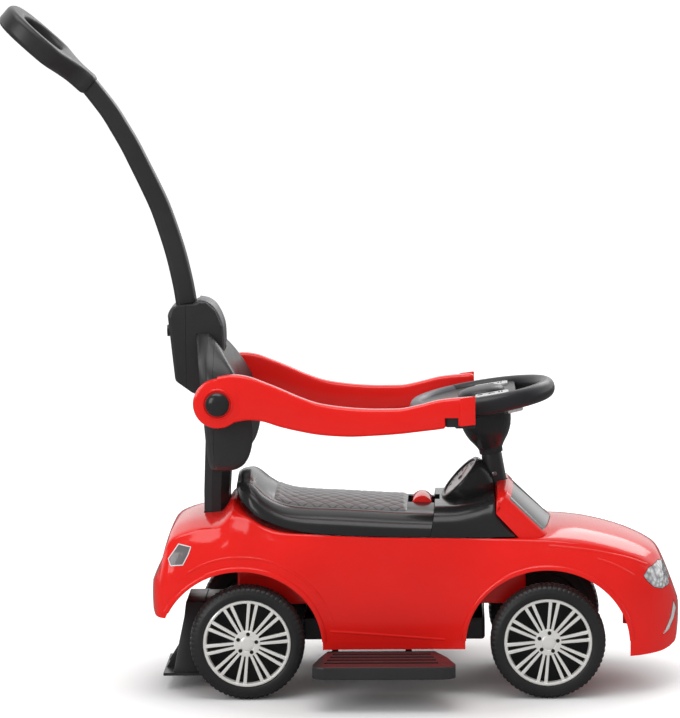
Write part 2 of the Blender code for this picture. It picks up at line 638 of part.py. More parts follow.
arm_in, arm_out = 0.1060, 0.1240     # a guard arm's faces, wide enough for the lid to pass between the two
channel_in, channel_out = arm_in + 0.0030, arm_out - 0.0030
tongue_in, tongue_out = channel_in + 0.0015, channel_out - 0.0015
yoke_low = bell_high + 0.0065
yoke_high = yoke_low + 0.0045
yoke_x = (0.2640, 0.2890)
tongue_x = (0.2520, 0.2820)
tongue_high = 0.3770
yoke = block("arm_yoke", (yoke_x[0], -tongue_out, yoke_low), (yoke_x[1], tongue_out, yoke_high), 0.001)
foot = block("foot", (yoke_x[0] + 0.010, -0.020, bell_high - 0.0060), (yoke_x[1], 0.020, yoke_low + 0.001))
yoke = join(yoke, foot)
for side in (-1, 1):
    tongue = side_block("tongue", side, tongue_x, (tongue_in, tongue_out), (yoke_high - 0.003, tongue_high), 0.002)
    yoke = join(yoke, tongue)
done(cut(yoke, bell_seat), "black")

# Steering wheel, made flat about its own centre and then laid on the column's line
ring_z = 0.3670
ring_middle = 0.084
ring_thick_radial, ring_thick_axial = 0.010, 0.012
ring_centre = on_column(ring_z)
to_ring = Matrix.Translation(ring_centre) @ turn_to(steer_dir)


def on_ring(obj):
    obj.data.transform(to_ring)
    return obj


ring_profile = [(ring_middle + ring_thick_radial * cos(2 * pi * n / 8), ring_thick_axial * sin(2 * pi * n / 8))
                for n in range(8)]
ring = turned("steering_wheel", ring_profile, (0, 0, 0), (0, 0, 1), 24)
pad_radius = 0.0790
pad_front = 0.0440
pad_half_thick = 0.0065
start_angle = acos(pad_front / pad_radius)
pad_outline = [(pad_radius * cos(start_angle + (2 * pi - 2 * start_angle) * n / 18),
                pad_radius * sin(start_angle + (2 * pi - 2 * start_angle) * n / 18)) for n in range(19)]
pad = slab("pad", pad_outline, -pad_half_thick, pad_half_thick, "Z")
hub_dome = turned("hub_dome", [(0.0, -0.0120), (0.0240, -0.0120), (0.0300, -0.004), (0.0300, 0.0075),
                               (0.0240, 0.0120), (0.0130, 0.0145), (0.0, 0.0150)], (0, 0, 0), (0, 0, 1), 20)
wheel_top = join(ring, pad, hub_dome)
button_x = (-0.0080, 0.0350)
button_y = (0.0340, 0.0570)
button_depth = 0.0040
button_travel = 0.0025
for side in (-1, 1):
    pocket = side_block("pocket", side, (button_x[0] - running / 2, button_x[1] + running / 2),
                        (button_y[0] - running / 2, button_y[1] + running / 2),
                        (pad_half_thick - button_depth - button_travel, pad_half_thick + 0.02))
    wheel_top = cut(wheel_top, pocket)
rod_socket = rod("rod_socket", (0, 0, -0.03), (0, 0, (rod_top_z - ring_z) / cos(steer_lean) + gap), rod_radius + gap)
wheel_top = cut(wheel_top, rod_socket)
done(on_ring(wheel_top), "grey", ring_centre, 40)
for side, word in ((-1, "right"), (1, "left")):
    button = side_block("wheel_button_" + word, side, button_x, button_y,
                        (pad_half_thick - button_depth + gap, pad_half_thick + 0.0030), 0.0012)
    middle = to_ring @ Vector(((button_x[0] + button_x[1]) / 2, side * (button_y[0] + button_y[1]) / 2,
                               pad_half_thick))
    done(on_ring(button), "silver", middle)

# Seat hinge: a bracket on the deck and a pin across the back of the lid
hinge_x, hinge_z = 0.0000, 0.2620
dash_rear = 0.2385
pin_radius = 0.0025
ear_radius = 0.0060
ear_y = (0.030, 0.038)
knuckle_y = (0.0185, 0.0290)

# Seat lid: a raised saddle, hollow below
# station, skirt bottom z, half width, shoulder z, middle top z, half width of the flat middle
seat_stations = [
    (-0.0140, 0.2600, belt_half - 0.0400, 0.2740, 0.2735, 0.040),
    (-0.0090, 0.2510, belt_half - 0.0250, 0.2800, 0.2780, 0.052),
    (0.0020, 0.2400, belt_half - 0.0120, 0.2845, 0.2815, 0.060),
    (0.0110, 0.2320, belt_half - 0.0070, 0.2835, 0.2770, 0.064),
    (0.0220, 0.2262, belt_half - 0.0035, 0.2680, 0.2675, 0.066),
    (0.0380, 0.2200, belt_half - 0.0010, 0.2500, 0.2570, 0.066),
    (0.0550, 0.2150, belt_half, 0.2390, 0.2505, 0.066),
    (0.0800, 0.2100, belt_half, 0.2335, 0.2475, 0.066),
    (0.1250, belt_z + 0.0035, belt_half, 0.2305, 0.2450, 0.066),
    (0.1800, belt_z + 0.0015, belt_half, 0.2285, 0.2415, 0.066),
    (0.2355, belt_z + 0.0010, belt_half, 0.2270, 0.2385, 0.066),
]
seat_rear, seat_front = seat_stations[0][0], seat_stations[-1][0]
seat_wall = 0.003


def seat_ring(at, wall):
    x, low, half, shoulder, top, flat = spline_through(seat_stations, at)
    half_ring = [
        (half, low),
        (half - 0.0005, low + (shoulder - low) * 0.45),
        (half - 0.0060, shoulder - (shoulder - low) * 0.22),
        (half - 0.0150, shoulder),
        (flat + (half - 0.015 - flat) * 0.55, shoulder + (top - shoulder) * 0.60),
        (flat, shoulder + (top - shoulder) * 0.94),
        (flat * 0.5, top - 0.0002),
        (0, top),
    ]
    if wall:
        half_ring = [(half - wall, low - 0.02), *[(y - wall, z) for y, z in half_ring[1:3]],
                     *[(max(y - wall, 0), z - wall) for y, z in half_ring[3:]]]
    ring_points = [(at, -y, z) for y, z in half_ring]
    return ring_points + [(at, y, z) for y, z in half_ring[-2::-1]]


seat_marks = [-0.0140, -0.0115, -0.0090, -0.0035, 0.0020, 0.0065, 0.0110, 0.0165, 0.0220, 0.0300, 0.0380, 0.0550,
              0.0800, 0.1250, 0.1800, 0.2355]
lid = loft("seat_lid", [seat_ring(x, 0) for x in seat_marks])
lid_marks = [seat_rear + seat_wall, 0.0020, 0.0110, 0.0220, 0.0380, 0.0550, 0.0800, 0.1250, 0.1800,
             seat_front - 3 * seat_wall]
lid_sweep = rod("lid_sweep", (hinge_x, -0.2, hinge_z), (hinge_x, 0.2, hinge_z), dash_rear - hinge_x - running,
                sides=160)
lid = combine(lid, lid_sweep, "INTERSECT", solver="MANIFOLD")
lid = cut(lid, loft("lid_space", [seat_ring(x, seat_wall) for x in lid_marks]), solver="MANIFOLD")
for side in (-1, 1):
    knuckle = rod("knuckle", (hinge_x, side * knuckle_y[0], hinge_z), (hinge_x, side * knuckle_y[1], hinge_z),
                  ear_radius, sides=16)
    rib = side_block("rib", side, (hinge_x - 0.003, hinge_x + 0.003), knuckle_y, (hinge_z, 0.2795))
    lid = join(lid, join(knuckle, rib))
lid = cut(lid, rod("pin_bore", (hinge_x, -0.034, hinge_z), (hinge_x, 0.034, hinge_z), pin_radius + running / 2,
                   sides=16))

# Latch at the front of the lid: a red finger tab on a slider whose hook catches under the dash cover
latch_back, latch_face = 0.2120, 0.2345
latch_half = 0.0250
latch_travel = 0.0040
slider_half = 0.0180
slider_low, slider_high = 0.2190, 0.2232
tab_radius = 0.0112
tab_z = 0.2405
hook_reach = 0.0050
guide_wall = 0.0020
tray = block("tray", (latch_back - 0.016, -slider_half - running - guide_wall, slider_low - running - guide_wall),
             (seat_front - 0.0005, slider_half + running + guide_wall, 0.2375))
tray_space = block("tray_space", (latch_back - 0.014, -slider_half - running, slider_low - running / 2),
                   (seat_front + 0.01, slider_half + running, 0.2600))
lid = cut(join(lid, tray), tray_space)
done(lid, "black", (hinge_x, 0, hinge_z), 40)

tab_x = latch_face - tab_radius
tab = slab("seat_latch", [(tab_x + tab_radius * cos(pi * n / 8), tab_z + tab_radius * sin(pi * n / 8))
                          for n in range(9)]
           + [(tab_x + (tab_radius - skin) * cos(pi * n / 6), tab_z + (tab_radius - skin) * sin(pi * n / 6))
              for n in range(6, -1, -1)], -latch_half, latch_half)
stem = block("stem", (latch_face - skin, -slider_half, slider_low), (latch_face, slider_half, tab_z + 0.001))
slider = block("slider", (latch_back, -slider_half, slider_low), (latch_face + hook_reach, slider_half, slider_high))
done(join(tab, stem, slider), "red", (latch_face, 0, slider_low))
spring_radius, wire_radius = 0.0036, 0.0005
spring_turns, spring_points = 5, 8


def spring(name, start, end):
    # A coil of round wire between two points along X
    count = spring_turns * spring_points
    curve = bpy.data.curves.new(name, "CURVE")
    curve.dimensions = "3D"
    curve.bevel_depth = wire_radius
    curve.bevel_resolution = 0
    curve.use_fill_caps = True
    line = curve.splines.new("POLY")
    line.points.add(count)
    for n, point in enumerate(line.points):
        turn = 2 * pi * n / spring_points
        x = start[0] + (end[0] - start[0]) * n / count
        point.co = (x, start[1] + spring_radius * cos(turn), start[2] + spring_radius * sin(turn), 1)
    obj = bpy.data.objects.new(name, curve)
    car.objects.link(obj)
    return bake(obj, orient=True)


spring_z = slider_low + spring_radius + wire_radius
done(spring("latch_spring", (latch_back - 0.014 + wire_radius + gap, 0, spring_z),
            (latch_back - wire_radius - gap, 0, spring_z)), "steel", (latch_back - 0.014, 0, spring_z))

# Hinge bracket and pin under the back of the lid
bracket_base = block("seat_hinge_bracket", (-hinge_block[0], -hinge_block[1], 0.2200),
                     (hinge_block[0], hinge_block[1], 0.2400))
ears = [side_block("ear", side, (-0.0050, 0.0050), ear_y, (0.2395, hinge_z)) for side in (-1, 1)]
ear_rounds = [rod("ear_round", (hinge_x, side * ear_y[0], hinge_z), (hinge_x, side * ear_y[1], hinge_z), 0.005,
                  sides=16) for side in (-1, 1)]
hinge_bracket = join(bracket_base, *ears, *ear_rounds)
hinge_bracket = cut(hinge_bracket, rod("ear_bore", (0, -0.05, hinge_z), (0, 0.05, hinge_z), pin_radius + gap,
                                       sides=16))
done(hinge_bracket, "black", (hinge_x, 0, hinge_z))
done(rod("seat_hinge_pin", (hinge_x, -ear_y[1], hinge_z), (hinge_x, ear_y[1], hinge_z), pin_radius, sides=16),
     "steel", (hinge_x, 0, hinge_z))

# Dash cover between the seat and the windscreen
dash_stations = [
    (dash_rear, belt_z + 0.0010, belt_half, 0.2270, 0.2385, 0.070),
    (0.2620, belt_z + 0.0005, belt_half, 0.2290, 0.2390, 0.070),
    (0.2900, belt_z, belt_half - 0.0005, 0.2340, 0.2440, 0.070),
    (0.3125, belt_z, belt_half - 0.0010, 0.2405, 0.2500, 0.068),
    (0.3150, belt_z, belt_half - 0.0010, 0.2320, 0.2390, 0.068),
    (0.3280, belt_z, belt_half - 0.0020, 0.2140, 0.2190, 0.068),
    (0.3385, belt_z, belt_half - 0.0030, 0.2052, 0.2060, 0.066),
]


def dash_ring(row, wall):
    x, low, half, shoulder, top, flat = row
    points = [
        (half - wall, low - (0.02 if wall else 0)),
        (half - 0.0005 - wall, low + (shoulder - low) * 0.45),
        (half - 0.0060 - wall, shoulder - (shoulder - low) * 0.22),
        (half - 0.0150 - wall, shoulder - wall),
        (flat, shoulder + (top - shoulder) * 0.8 - wall),
        (flat * 0.5, top - 0.0002 - wall),
        (0, top - wall),
    ]
    return [(x, -y, z) for y, z in points] + [(x, y, z) for y, z in points[-2::-1]]


dash = loft("dash_cover", [dash_ring(row, 0) for row in dash_stations])
dash_inner = [(dash_rear + 2.5 * skin, *dash_stations[0][1:]), *dash_stations[1:3], (0.3110, *dash_stations[3][1:])]
dash = cut(dash, loft("dash_space", [dash_ring(row, skin) for row in dash_inner]))
hook_slot = block("hook_slot", (0.2300, -slider_half - running, slider_low - running),
                  (latch_face + hook_reach + 0.0040, slider_half + running, 0.2700))
sleeve_hole = rod("sleeve_hole", on_column(0.18), on_column(0.28), column_radius + gap, sides=28)
dash = cut(dash, hook_slot, sleeve_hole)
dash = cut(dash, body_seat)
dash_seat = loft("dash_seat", [dash_ring(row, 0) for row in dash_stations])
dash_seat.location.z = gap
done(dash, "black", (0, 0, 0), 40)

# Gauge pod on the dash, turned a little to one side, with a plain dial
pod_face = Vector((0.2685, 0, 0.2650))
pod_dir = Vector((0.73, 0.10, -0.68)).normalized()
dial_radius = 0.0282
dial_depth, dial_thick = 0.0040, 0.0012
pod = turned("gauge_pod", [(0.0, dial_depth), (dial_radius + gap, dial_depth), (dial_radius + gap, 0.0),
                           (0.0330, 0.0), (0.0348, 0.0025), (0.0362, 0.0140), (0.0340, 0.0300),
                           (0.0260, 0.0460), (0.0, 0.0560)], pod_face, pod_dir, 24)
pod = cut(pod, dash_seat, block("screen_side", (0.3142, -0.1, 0.2), (0.4, 0.1, 0.4)), rod("column_way", on_column(0.20), on_column(0.32), column_radius + running, sides=24))
done(pod, "black", pod_face, 40)
dial = turned("gauge_dial", [(0.0, dial_depth - gap - dial_thick), (dial_radius, dial_depth - gap - dial_thick),
                             (dial_radius, dial_depth - gap), (0.0, dial_depth - gap)], pod_face, pod_dir, 24)
done(dial, "silver", pod_face)

# Windscreen frame and pane
screen_rows = [(0.0, 0.2620, 0.3910, 0.2085), (0.060, 0.2590, 0.3850, 0.2065), (0.088, 0.2520, 0.3770, 0.2035),
               (0.0960, 0.2400, 0.3700, 0.2015)]


def screen_ring(y, top, foot_x, foot_z):
    back = 0.0006
    return [(0.3470 + back, y, 0.1960), (0.3158 + back, y, 0.2385), (0.3142 + back, y, top - 0.008),
            (0.3190, y, top), (0.3320 - (0.262 - top) * 0.6, y, top), (foot_x, y, foot_z),
            (foot_x - 0.006, y, 0.1955)]


frame_rings = [screen_ring(-y, *row) for y, *row in screen_rows[:0:-1]] + [screen_ring(y, *row)
                                                                        for y, *row in screen_rows]
screen_frame = loft("windscreen_frame", frame_rings)
screen_frame = cut(screen_frame, screen_seat, rod("column_notch", on_column(0.18), on_column(0.30),
                                                  column_radius + gap, sides=28), solver="MANIFOLD")
pane_top, pane_foot = Vector((0.3320, 0, 0.2620)), Vector((0.3910, 0, 0.2085))
pane_slope = (pane_foot - pane_top).normalized()
pane_normal = Vector((-pane_slope.z, 0, pane_slope.x))
pane_place = Matrix.Translation((pane_top + pane_foot) / 2) @ Matrix((
    (pane_slope.x, 0, pane_normal.x, 0), (0, 1, 0, 0), (pane_slope.z, 0, pane_normal.z, 0), (0, 0, 0, 1)))
pane_length, pane_half, pane_foot_half = 0.0560, 0.0700, 0.0790
pane_thick, pane_sink = 0.0035, 0.0050


def pane_solid(name, grow, low, high):
    u = pane_length / 2 + grow
    half, foot = pane_half + grow, pane_foot_half + grow
    solid = slab(name, [(-u, -half), (u, -foot), (u, foot), (-u, half)], low, high, "Z")
    solid.data.transform(pane_place)
    return solid


screen_frame = cut(screen_frame, pane_solid("pane_pocket", gap, -pane_sink, 0.02), solver="MANIFOLD")
done(screen_frame, "red", (0, 0, 0), 30)
done(pane_solid("windscreen", 0, -pane_sink + gap, -pane_sink + gap + pane_thick), "glass", (pane_top + pane_foot) / 2)

# Backrest post, standing in the shell
arm_pivot = (-0.0330, 0.3765)
socket_half = 0.030
post_top = 0.3767
shoulder = 0.010
post_rings = []
for z, back, front, half in ((0.150, post_back + 0.001, -0.0260, post_half - 0.002),
                             (0.2180, post_back + 0.001, -0.0260, post_half - 0.002),
                             (0.2500, post_back + 0.001, -0.0260, post_half - 0.002),
                             (post_top, -0.0530, -0.0175, post_half - 0.003)):
    post_rings.append([(back, -half + shoulder, z), (back + shoulder, -half, z), (front - shoulder, -half, z),
                       (front, -half + shoulder, z), (front, half - shoulder, z), (front - shoulder, half, z),
                       (back + shoulder, half, z), (back, half - shoulder, z)])
post = loft("backrest_post", post_rings)

# Backrest: a curved shell in two halves that closes round the post, with wings at the sides
# height, half width, back x, wing front x, how far the middle is dished behind the wings
back_rows = [
    (0.2850, 0.0800, -0.0460, -0.0220, 0.006),
    (0.2890, 0.0890, -0.0475, -0.0110, 0.010),
    (0.2970, 0.0950, -0.0490, -0.0010, 0.014),
    (0.3130, 0.0985, -0.0510, 0.0065, 0.018),
    (0.3350, 0.0992, -0.0530, 0.0095, 0.020),
    (0.3600, 0.0992, -0.0550, 0.0070, 0.018),
    (0.3850, 0.0985, -0.0570, 0.0000, 0.014),
    (0.4050, 0.0950, -0.0590, -0.0100, 0.008),
    (0.4250, 0.0820, -0.0610, -0.0225, 0.004),
    (0.4420, 0.0600, -0.0630, -0.0350, 0.002),
    (0.4550, 0.0420, -0.0650, -0.0480, 0.001),
]
wing_wall = 0.003
split_x = -0.0400


def back_ring(row, wall, lift=0.0):
    z, half, back, front, dish = row
    half, back, front = half - wall, back + wall, front - wall
    points = [(back, 0), (back, half * 0.70), (back + 0.008, half - 0.008), (back + 0.0135, half),
              (front - 0.006 if front - 0.006 > back + 0.0145 else back + 0.0145, half),
              (max(front, back + 0.0155), half - 0.006), (front - dish * 0.25, half * 0.78),
              (front - dish * 0.85, half * 0.40), (front - dish, 0)]
    return [(x, -y, z + lift) for x, y in points] + [(x, y, z + lift) for x, y in points[-2:0:-1]]


def back_solid(name, wall):
    if not wall:
        return loft(name, [back_ring(row, 0) for row in back_rows])
    inner = [back_ring(row, wall) for row in back_rows[2:-2]]
    return loft(name, inner)


def post_solid(name, grow):
    rings = []
    for ring in post_rings:
        middle = sum(p[0] for p in ring) / len(ring)
        rings.append([(x + (grow if x > middle else -grow), y + (grow if y > 0 else -grow), z) for x, y, z in ring])
    return loft(name, [*rings, [(x, y, z + 0.1) for x, y, z in rings[-1]]])


socket_join = -0.0780
socket_outline = [(-0.0925, 0.3940), (-0.0690, 0.3770), (-0.0230, 0.3770), (-0.0300, 0.4150), (-0.0300, 0.4400),
                  (-0.0315, 0.4650), (-0.0400, 0.4850), (-0.0500, 0.4940), (-0.0620, 0.4970), (-0.0700, 0.4920),
                  (-0.0930, 0.4900), (-0.0985, 0.4860), (-0.1010, 0.4780)]
wings = cut(back_solid("wings", 0), back_solid("wing_space", wing_wall), solver="MANIFOLD")
boss_reach = arm_in - running / 2
for side in (-1, 1):
    start = (arm_pivot[0], side * 0.078, arm_pivot[1])
    wings = combine(wings, rod("wing_boss", start, (arm_pivot[0], side * boss_reach, arm_pivot[1]),
                               0.0066, sides=14), "UNION",
                    solver="MANIFOLD")
pin_shaft = 0.0040
wings = cut(wings, post_solid("post_way", gap), slab("socket_way", grown(socket_outline, gap),
                                                     -socket_half - gap, socket_half + gap),
            rod("pivot_bore", (arm_pivot[0], -0.12, arm_pivot[1]), (arm_pivot[0], 0.12, arm_pivot[1]),
                pin_shaft + gap, sides=16), solver="MANIFOLD")
rear_cut = block("rear_cut", (split_x - gap, -0.2, 0.2), (0.1, 0.2, 0.6))
front_cut = block("front_cut", (-0.2, -0.2, 0.2), (split_x, 0.2, 0.6))
cover = cut(copy(wings, "backrest_cover"), rear_cut, solver="MANIFOLD")
wings.name = "backrest"
done(cut(wings, front_cut, solver="MANIFOLD"), "black", (0, 0, 0), 40)
done(cover, "black", (0, 0, 0), 40)
done(post, "black", (0, 0, 0), 30)

# Handle socket on top of the post, in two halves with a pocket for the pole
pole_foot_z, pole_rise = 0.4920, 0.2785
pole_line = [(-0.0700, pole_foot_z - 0.0500), (-0.0785, pole_foot_z)] + [
    (x, pole_foot_z + pole_rise * up) for x, up in (
        (-0.0825, 0.0898), (-0.0905, 0.2190), (-0.0995, 0.3286), (-0.1105, 0.4434), (-0.1230, 0.5440),
        (-0.1350, 0.6338), (-0.1475, 0.7253), (-0.1600, 0.8043), (-0.1740, 0.8869), (-0.1980, 1.0))]
pole_deep, pole_half = 0.0260, 0.0150
tang_deep, tang_half = 0.0200, 0.0110
tang_dir = (Vector((-0.0785, 0, 0.4920)) - Vector((-0.0700, 0, 0.4420))).normalized()
tang_side = Vector((tang_dir.z, 0, -tang_dir.x))
socket_mouth = Vector((-0.0785, 0, pole_foot_z))
tang_length = 0.0700


def tang_solid(name, grow, below, above):
    rings = []
    for along in (-below, above):
        middle = socket_mouth + tang_dir * along
        deep, half = tang_deep / 2 + grow, tang_half + grow
        rings.append([middle + tang_side * a + Vector((0, b, 0))
                      for a, b in ((-deep, -half), (deep, -half), (deep, half), (-deep, half))])
    return loft(name, rings)


corner = 0.0045
pole_points = [Vector((x, 0, z)) for x, z in path_through(pole_line[1:], 2)]
pole_rings = []
for i, point in enumerate(pole_points):
    ahead = pole_points[min(i + 1, len(pole_points) - 1)] - pole_points[max(i - 1, 0)]
    across = Vector((ahead.z, 0, -ahead.x)).normalized()
    shrink = 1 - 0.12 * i / (len(pole_points) - 1)
    deep, half = pole_deep / 2 * shrink, pole_half * shrink
    pole_rings.append([point + across * a + Vector((0, b, 0)) for a, b in (
        (-deep + corner, -half), (deep - corner, -half), (deep, -half + corner), (deep, half - corner),
        (deep - corner, half), (-deep + corner, half), (-deep, half - corner), (-deep, -half + corner))])


def ring_solid(name, ring, grow, low, high, direction):
    # A ring of the pole, grown sideways and drawn out along a direction
    middle = sum(ring, Vector()) / len(ring)
    wide = [p + (p - middle).normalized() * grow for p in ring]
    return loft(name, [[p + direction * lift for p in wide] for lift in (low, high)])


socket = rounded(slab("handle_socket", socket_outline, -socket_half, socket_half), 0.004, 2)
socket = cut(socket, tang_solid("tang_pocket", running / 2, tang_length + running, 0.03),
             ring_solid("pole_seat", pole_rings[0], running / 2, -gap, 0.03, tang_dir))
button_z, button_radius = 0.4560, 0.0075
button_throw = 0.0030
button_way = rod("button_way", (-0.13, 0, button_z), (-0.0860, 0, button_z), button_radius + running / 2)
socket = cut(socket, button_way)
front_half = cut(copy(socket, "socket_front"), block("rear_side", (-0.3, -0.1, 0.3), (socket_join, 0.1, 0.6)))
rear_half = cut(socket, block("front_side", (socket_join - gap, -0.1, 0.3), (0.1, 0.1, 0.6)))
rear_half.name = "socket_rear"
done(front_half, "black", (0, 0, 0), 40)
done(rear_half, "black", (0, 0, 0), 40)
release = rod("pole_release_button", (-0.1035, 0, button_z), (-0.0905, 0, button_z), button_radius)
done(release, "grey", (-0.1035, 0, button_z))

# Push pole and its loop handle
pole = loft("push_pole", pole_rings)
pole = join(pole, tang_solid("tang", 0, tang_length, 0.004))
top_dir = (pole_points[-1] - pole_points[-3]).normalized()
top_side = Vector((top_dir.z, 0, -top_dir.x))
spigot_deep, spigot_half, spigot_length = 0.0080, 0.0090, 0.0300
pole_end = pole_points[-1]


def spigot_solid(name, grow, below, above):
    rings = []
    for along in (-below, above):
        middle = pole_end + top_dir * along
        rings.append([middle + top_side * a * (spigot_deep + grow) + Vector((0, b * (spigot_half + grow), 0))
                      for a, b in ((-1, -1), (1, -1), (1, 1), (-1, 1))])
    return loft(name, rings)


pole = join(pole, spigot_solid("spigot", 0, 0.004, spigot_length))
done(pole, "black", socket_mouth, 40)

# The handle is made flat, u along the pole's end and v across the car, then laid on the pole
grip_dir = Vector((-0.745, 0, 0.667)).normalized()
grip_normal = Vector((grip_dir.z, 0, -grip_dir.x))
grip_place = Matrix.Translation(pole_end + top_dir * gap) @ Matrix((
    (grip_dir.x, 0, grip_normal.x, 0), (0, 1, 0, 0), (grip_dir.z, 0, grip_normal.z, 0), (0, 0, 0, 1)))
grip_length, grip_half, grip_thick = 0.1420, 0.0700, 0.0270
grip_outline = [(-0.002, -0.016), (0.020, -0.0185), (0.036, -0.036), (0.050, -0.058), (0.066, -grip_half),
                (0.098, -grip_half), (0.122, -0.060), (0.136, -0.040), (grip_length, -0.014)]
grip_outline += [(u, -v) for u, v in grip_outline[::-1]]
slot_outline = [(0.058, -0.030), (0.072, -0.048), (0.098, -0.047), (0.110, -0.034), (0.115, -0.010)]
slot_outline += [(u, -v) for u, v in slot_outline[::-1]]
grip = slab("push_handle", grip_outline, -grip_thick / 2, grip_thick / 2, "Z", holes=[slot_outline])
grip = rounded(grip, 0.0065, 2, 50)
grip.data.transform(grip_place)
grip = cut(grip, spigot_solid("spigot_way", gap, 0.02, spigot_length + running),
           ring_solid("pole_way", pole_rings[-1], 1.5 * gap, -0.03, gap, top_dir))
done(grip, "black", pole_end, 40)

# Guard arms, each turning on a pin in the backrest's wing
# station, top z, bottom z
arm_rows = [
    (-0.0330, 0.4105, 0.3462), (-0.0140, 0.4130, 0.3525), (0.0050, 0.4105, 0.3558), (0.0230, 0.4040, 0.3540),
    (0.0450, 0.3950, 0.3470), (0.0700, 0.3840, 0.3410), (0.0950, 0.3755, 0.3365), (0.1330, 0.3700, 0.3340),
    (0.1650, 0.3683, 0.3352), (0.1950, 0.3685, 0.3372), (0.2200, 0.3722, 0.3400), (0.2460, 0.3762, 0.3430),
    (0.2890, 0.3835, 0.3500),
]
boss_radius_arm = 0.0310
cap_radius = 0.0150
arm_edge = 0.0040
for side, word in ((-1, "right"), (1, "left")):
    rings = []
    for x, top, bottom in arm_rows:
        inner, outer = side * arm_in, side * arm_out
        step = side * arm_edge
        rings.append([(x, inner, bottom + arm_edge / 2), (x, inner + step / 2, bottom), (x, outer - step, bottom),
                      (x, outer, bottom + arm_edge), (x, outer, top - arm_edge), (x, outer - step, top),
                      (x, inner + step / 2, top), (x, inner, top - arm_edge / 2)])
    arm = loft("guard_arm_" + word, rings)
    arm = join(arm, rod("arm_boss", (arm_pivot[0], side * arm_in, arm_pivot[1]),
                        (arm_pivot[0], side * (arm_out + 0.0010), arm_pivot[1]), boss_radius_arm, sides=28))
    arm_low = 0.33
    arm = cut(arm,
              side_block("channel", side, (tongue_x[0] - 0.0035, tongue_x[1] + 0.0035), (channel_in, channel_out),
                         (arm_low, tongue_high + 0.0015)),
              side_block("window", side, (tongue_x[0] - 0.0010, tongue_x[0] + 0.0160),
                         (channel_out - 0.001, arm_out + 0.01), (arm_low, 0.3575)),
              side_block("yoke_way", side, (yoke_x[0] - 0.0030, yoke_x[1] + 0.0030), (0.09, channel_in + 0.001),
                         (arm_low, yoke_high + 0.0020)),
              side_block("yoke_end_way", side, (tongue_x[1], yoke_x[1] + 0.0030), (0.09, channel_out),
                         (arm_low, yoke_high + 0.0020)),
              rod("pin_way", (arm_pivot[0], side * 0.09, arm_pivot[1]), (arm_pivot[0], side * 0.14, arm_pivot[1]),
                  pin_shaft + running / 2, sides=16))
    done(arm, "red", (arm_pivot[0], side * arm_in, arm_pivot[1]), 35)
    face = arm_out + 0.0010 + running / 2
    base = 0.0810
    cap_profile = [(0.0, base), (pin_shaft, base), (pin_shaft, face), (cap_radius, face),
                   (cap_radius, face + 0.0025), (0.0120, face + 0.0055), (0.0060, face + 0.0075), (0.0, face + 0.0080)]
    cap = turned("arm_pivot_" + word, cap_profile, (arm_pivot[0], 0, arm_pivot[1]), (0, side, 0), 20)
    done(cap, "black", (arm_pivot[0], side * face, arm_pivot[1]), 40)
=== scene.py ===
import json
from math import acos, cos, pi, radians, sin, sqrt, tan

import bmesh
import bpy
from mathutils import Matrix, Vector

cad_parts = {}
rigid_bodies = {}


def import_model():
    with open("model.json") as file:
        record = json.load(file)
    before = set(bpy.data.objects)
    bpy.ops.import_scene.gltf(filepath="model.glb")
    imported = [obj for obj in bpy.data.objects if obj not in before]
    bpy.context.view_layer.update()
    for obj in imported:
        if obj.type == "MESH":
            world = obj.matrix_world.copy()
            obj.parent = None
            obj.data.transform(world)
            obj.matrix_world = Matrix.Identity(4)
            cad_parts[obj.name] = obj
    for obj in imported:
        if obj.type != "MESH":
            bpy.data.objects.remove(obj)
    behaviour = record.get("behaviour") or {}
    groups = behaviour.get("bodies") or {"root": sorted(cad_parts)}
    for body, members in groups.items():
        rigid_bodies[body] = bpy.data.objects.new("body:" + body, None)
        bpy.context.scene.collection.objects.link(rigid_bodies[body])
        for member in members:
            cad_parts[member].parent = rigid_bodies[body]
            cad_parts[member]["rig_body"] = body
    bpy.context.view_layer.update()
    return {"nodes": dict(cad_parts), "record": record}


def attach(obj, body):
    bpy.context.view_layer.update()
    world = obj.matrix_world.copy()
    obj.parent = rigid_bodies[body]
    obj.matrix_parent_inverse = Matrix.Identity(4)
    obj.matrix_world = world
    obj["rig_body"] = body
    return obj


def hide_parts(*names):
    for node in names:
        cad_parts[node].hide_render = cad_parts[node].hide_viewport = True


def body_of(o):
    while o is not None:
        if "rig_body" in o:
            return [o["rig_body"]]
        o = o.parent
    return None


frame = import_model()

nodes = frame["nodes"]
scene = bpy.context.scene
scene.view_settings.view_transform = "Standard"
axleShift = -0.1195          # where the rear axle is along the car; the lengths below start at it
axleHeight = 0.0725
wheelbase = 0.379
sides = (("right", -1), ("left", 1))
across = 0.2                 # half the width of a tool that cuts right across the car


def plug(tree, place, given):
    # Links a value to a socket, or sets the socket to a number or a colour
    if isinstance(given, Value):
        tree.links.new(given.socket, place)
    else:
        place.default_value = given


class Value:                 # a shader value that can be used in plain sums
    def __init__(self, tree, socket):
        self.tree = tree
        self.socket = socket

    def work(self, operation, other, swapped=False):
        node = self.tree.nodes.new("ShaderNodeMath")
        node.operation = operation
        for place, given in zip(node.inputs, (other, self) if swapped else (self, other)):
            plug(self.tree, place, given)
        return Value(self.tree, node.outputs[0])

    def __add__(self, other):
        return self.work("ADD", other)

    def __radd__(self, other):
        return self.work("ADD", other, True)

    def __sub__(self, other):
        return self.work("SUBTRACT", other)

    def __rsub__(self, other):
        return self.work("SUBTRACT", other, True)

    def __mul__(self, other):
        return self.work("MULTIPLY", other)

    def __rmul__(self, other):
        return self.work("MULTIPLY", other, True)

    def __truediv__(self, other):
        return self.work("DIVIDE", other)

    def __rtruediv__(self, other):
        return self.work("DIVIDE", other, True)


